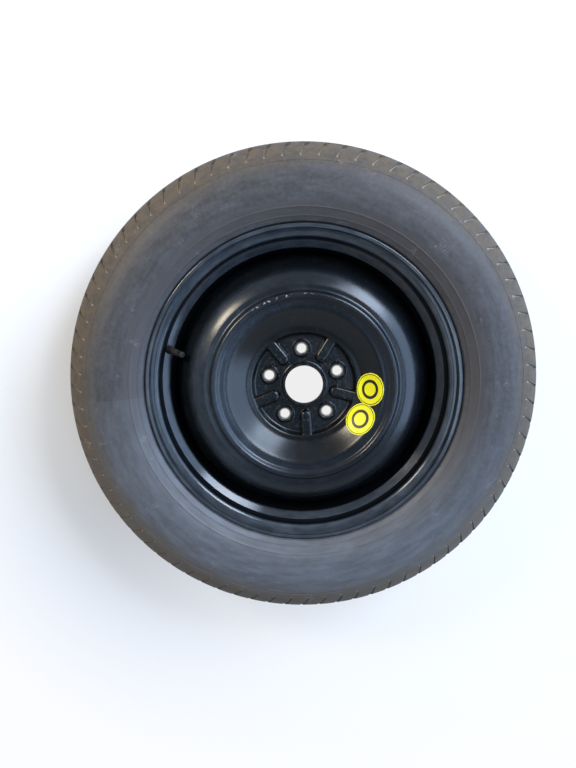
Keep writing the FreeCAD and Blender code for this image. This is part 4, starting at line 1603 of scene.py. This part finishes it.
@dataclass
class Studio:
    """The pale floor, the soft lamps and the camera that looks down on the wheel."""

    floor_height: float
    floor_reach: float = 40000.0
    floor_white: float = 0.6
    shade_white: float = 0.05
    far_white: float = 0.9
    # painted light: the floor under the wheel glows to the camera, though it lies in the wheel's shade
    under_wheel_glow: float = 0.85
    shade_turn_deg: Pair = (90.0, 155.0)
    far_mm: Pair = (480.0, 850.0)
    under_wheel_glow_mm: Pair = (200.0, 320.0)
    room: str = "#d2dbe6"
    ceiling: str = "#5a6a7e"
    room_light: float = 0.82
    room_rise: Pair = (0.1, 0.95)
    focal_px: float = 577.0
    frame_px: float = 768.0
    sensor: float = 36.0
    camera_place: tuple[float, float, float] = (-27.0, 118.0, 952.0)
    camera_turn_deg: tuple[float, float, float] = (-7.22, -0.59, -3.88)

    def build_floor(self) -> bpy.types.Object:
        """Lay a pale floor that stays near white to the camera and keeps the wheel's shadow, with a painted
        glow under the wheel that lights the floor seen through its holes.

        Returns:
            The floor's object.
        """
        reach = self.floor_reach
        corner = np.array([-reach, reach])
        x, y = np.meshgrid(corner, corner)
        surface = Surface()
        surface.add(np.stack([x, y, np.full((2, 2), self.floor_height)], axis=-1))
        material = bpy.data.materials.new("pale paper floor")
        material.use_nodes = True
        shade = Shading(material.node_tree)
        rays = shade.add_node("ShaderNodeLightPath").outputs
        seen = shade.maths("MAXIMUM", rays["Is Camera Ray"], rays["Is Glossy Ray"])
        seen = shade.maths("MAXIMUM", seen, rays["Is Transmission Ray"])
        turned = shade.maths("ABSOLUTE", shade.angle)
        side = [math.radians(a) for a in self.shade_turn_deg]
        near = shade.ramp(turned, *side, self.floor_white, self.shade_white)
        far = shade.ramp(shade.radius, *(v * MM for v in self.far_mm), near, self.far_white)
        # painted light: the glow is strongest under the wheel, where the floor lies in shade
        glow = shade.ramp(shade.radius, *(v * MM for v in self.under_wheel_glow_mm), self.under_wheel_glow, far)
        paper = shade.add_node("ShaderNodeBsdfDiffuse", {"Color": linear("#f4f4f4")}).outputs[0]
        white = shade.add_node("ShaderNodeEmission", {"Color": linear("#ffffff"), "Strength": 1.0}).outputs[0]
        mix = shade.add_node("ShaderNodeMixShader", {0: shade.product(seen, glow), 1: paper, 2: white})
        shade.add_node("ShaderNodeOutputMaterial", {0: mix.outputs[0]})
        return surface.build("studio_floor", material)

    def build_world(self) -> None:
        """Fill the room with a soft grey light, darker overhead than at the horizon."""
        world = bpy.data.worlds.new("studio room")
        bpy.context.scene.world = world
        world.use_nodes = True
        shade = Shading(world.node_tree)
        up = shade.split(shade.add_node("ShaderNodeTexCoord").outputs["Generated"])[2]
        colour = shade.tinted(shade.ramp(up, *self.room_rise, kind="LINEAR"), self.room, self.ceiling)
        light = shade.add_node("ShaderNodeBackground", {"Color": colour, "Strength": self.room_light})
        shade.add_node("ShaderNodeOutputWorld", {0: light.outputs[0]})

    def build_camera(self) -> bpy.types.Object:
        """Set the camera at the photograph's place and angle.

        Returns:
            The camera's object.
        """
        data = bpy.data.cameras.new("view")
        data.sensor_width = self.sensor
        data.lens = self.focal_px / self.frame_px * self.sensor
        data.clip_start = 10.0 * MM
        camera = bpy.data.objects.new("view", data)
        camera.location = Vector(self.camera_place) * MM
        camera.rotation_euler = [math.radians(a) for a in self.camera_turn_deg]
        bpy.context.scene.collection.objects.link(camera)
        bpy.context.scene.camera = camera
        return camera

    def build(self) -> None:
        """Build the floor, the lamps and the camera, and set plain view colours."""
        self.build_floor()
        self.build_world()
        for lamp in (
            Lamp("window", (2100.0, 0.0, 1100.0), (2900.0, 1700.0), 54.0, "#b2d3ff"),
            Lamp("bright_pane", (1520.0, 1468.0, 1480.0), (950.0, 1400.0), 62.0, "#cfe3ff"),
            Lamp("left_lamp", (-1150.0, 960.0, 1165.0), (440.0, 420.0), 17.5, "#fff0d8"),
            Lamp("left_ceiling", (-800.0, -320.0, 2500.0), (800.0, 800.0), 4.0, "#bfdcff"),
            Lamp("right_ceiling", (950.0, -320.0, 2500.0), (800.0, 800.0), 7.5, "#bfdcff"),
            Lamp("right_lamp", (860.0, 780.0, 1500.0), (260.0, 260.0), 4.0, "#fff1de"),
        ):
            lamp.build()
        self.build_camera()
        bpy.context.scene.view_settings.view_transform = "Standard"


def dress_node(node: str, material: bpy.types.Material) -> None:
    """Give a carried-over solid its material.

    Args:
        node: The solid's name.
        material: Its new material.
    """
    mesh = frame["nodes"][node].data
    mesh.materials.clear()
    mesh.materials.append(material)
    LOG.info("dressed %s in %s", node, material.name)


def place(piece: bpy.types.Object, body: Body, node: str, slot: str) -> None:
    """Let a new piece stand for a solid on its body.

    Args:
        piece: The new piece.
        body: The body that it rides on.
        node: The solid that it stands for.
        slot: The record's material slot; not used.
    """
    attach(piece, body.value)
    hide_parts(node)
    LOG.info("built %s for %s with %d faces", piece.name, node, len(piece.data.polygons))


def cap_joint() -> dict[str, Any]:
    """The joint that the valve's cap turns on."""
    return next(j for j in frame["joints"] if j["name"] == "cap_turn")


def main() -> None:
    """Build the wheel's looks, piece by piece, and the studio round it."""
    paint = GlossBlackPaint("stoved black enamel").material()
    # the rim's film of dust and painted sheen is heavier, on its faces that look up
    rim_paint = GlossBlackPaint("satin black enamel", colour="#0b0e12", dust_and_sheen="#52585f", gloss=0.12, dull=0.2,
                                film=0.8, dust_sheen_from_mm=225.0, dust_sheen_edge_mm=5.0, dust_sheen_inside=0.7,
                                dust_sheen_far_side=1.1, chipped=False).material()
    weld_paint = GlossBlackPaint("black enamel over weld", gloss=0.3, dull=0.5, chipped=False).material()
    rubber = TyreRubber("moulded tyre rubber").material()
    valve_rubber = Moulded("moulded valve rubber").material()
    cap_plastic = Moulded("moulded cap plastic", colour="#121110", worn="#2a2622", rough=0.45).material()
    brass = BareMetal("turned brass").material()
    steel = BareMetal("drawn spring wire", colour="#b9bcc0", tarnish="#7f8388").material()
    gasket = Moulded("moulded gasket plastic", colour="#a12a1d", worn="#7c2218", rough=0.4).material()
    film = PrintedFilm("printed yellow vinyl").material()

    rim = Rim()
    disc = WheelDisc(rim)
    joint = cap_joint()
    valve = Valve(Vector(joint["axis"]), Vector(joint["pos_m"]))
    place(Tyre(rim).build(rubber), Body.WHEEL, "tyre", "tyre_rubber")
    place(rim.build(rim_paint), Body.WHEEL, "rim", "black_paint")
    place(disc.build(paint), Body.WHEEL, "wheel_disc", "black_paint")
    place(WeldRuns(disc).build(weld_paint), Body.WHEEL, "disc_welds", "painted_weld")
    place(valve.build_trunk(valve_rubber), Body.WHEEL, "valve_body", "valve_rubber")
    place(valve.build_stem(brass), Body.WHEEL, "valve_stem", "stem_brass")
    place(valve.build_cap(cap_plastic), Body.CAP, "valve_cap", "cap_plastic")
    place(Sticker(disc).build(film), Body.WHEEL, "label", "label_vinyl")
    spring = valve.build_spring(steel)
    place(spring, Body.WHEEL, "core_spring", "spring_steel")
    valve.press(spring)
    for node, material in (("core_housing", brass), ("core_pin", brass), ("core_gasket", gasket),
                           ("core_seal", valve_rubber), ("cap_seal", valve_rubber)):
        dress_node(node, material)
    Studio(floor_height=CAD_BOX[0][2] / MM).build()


if __name__ == "__main__":
    logging.basicConfig(level=logging.INFO, format="%(name)s: %(message)s")
    main()
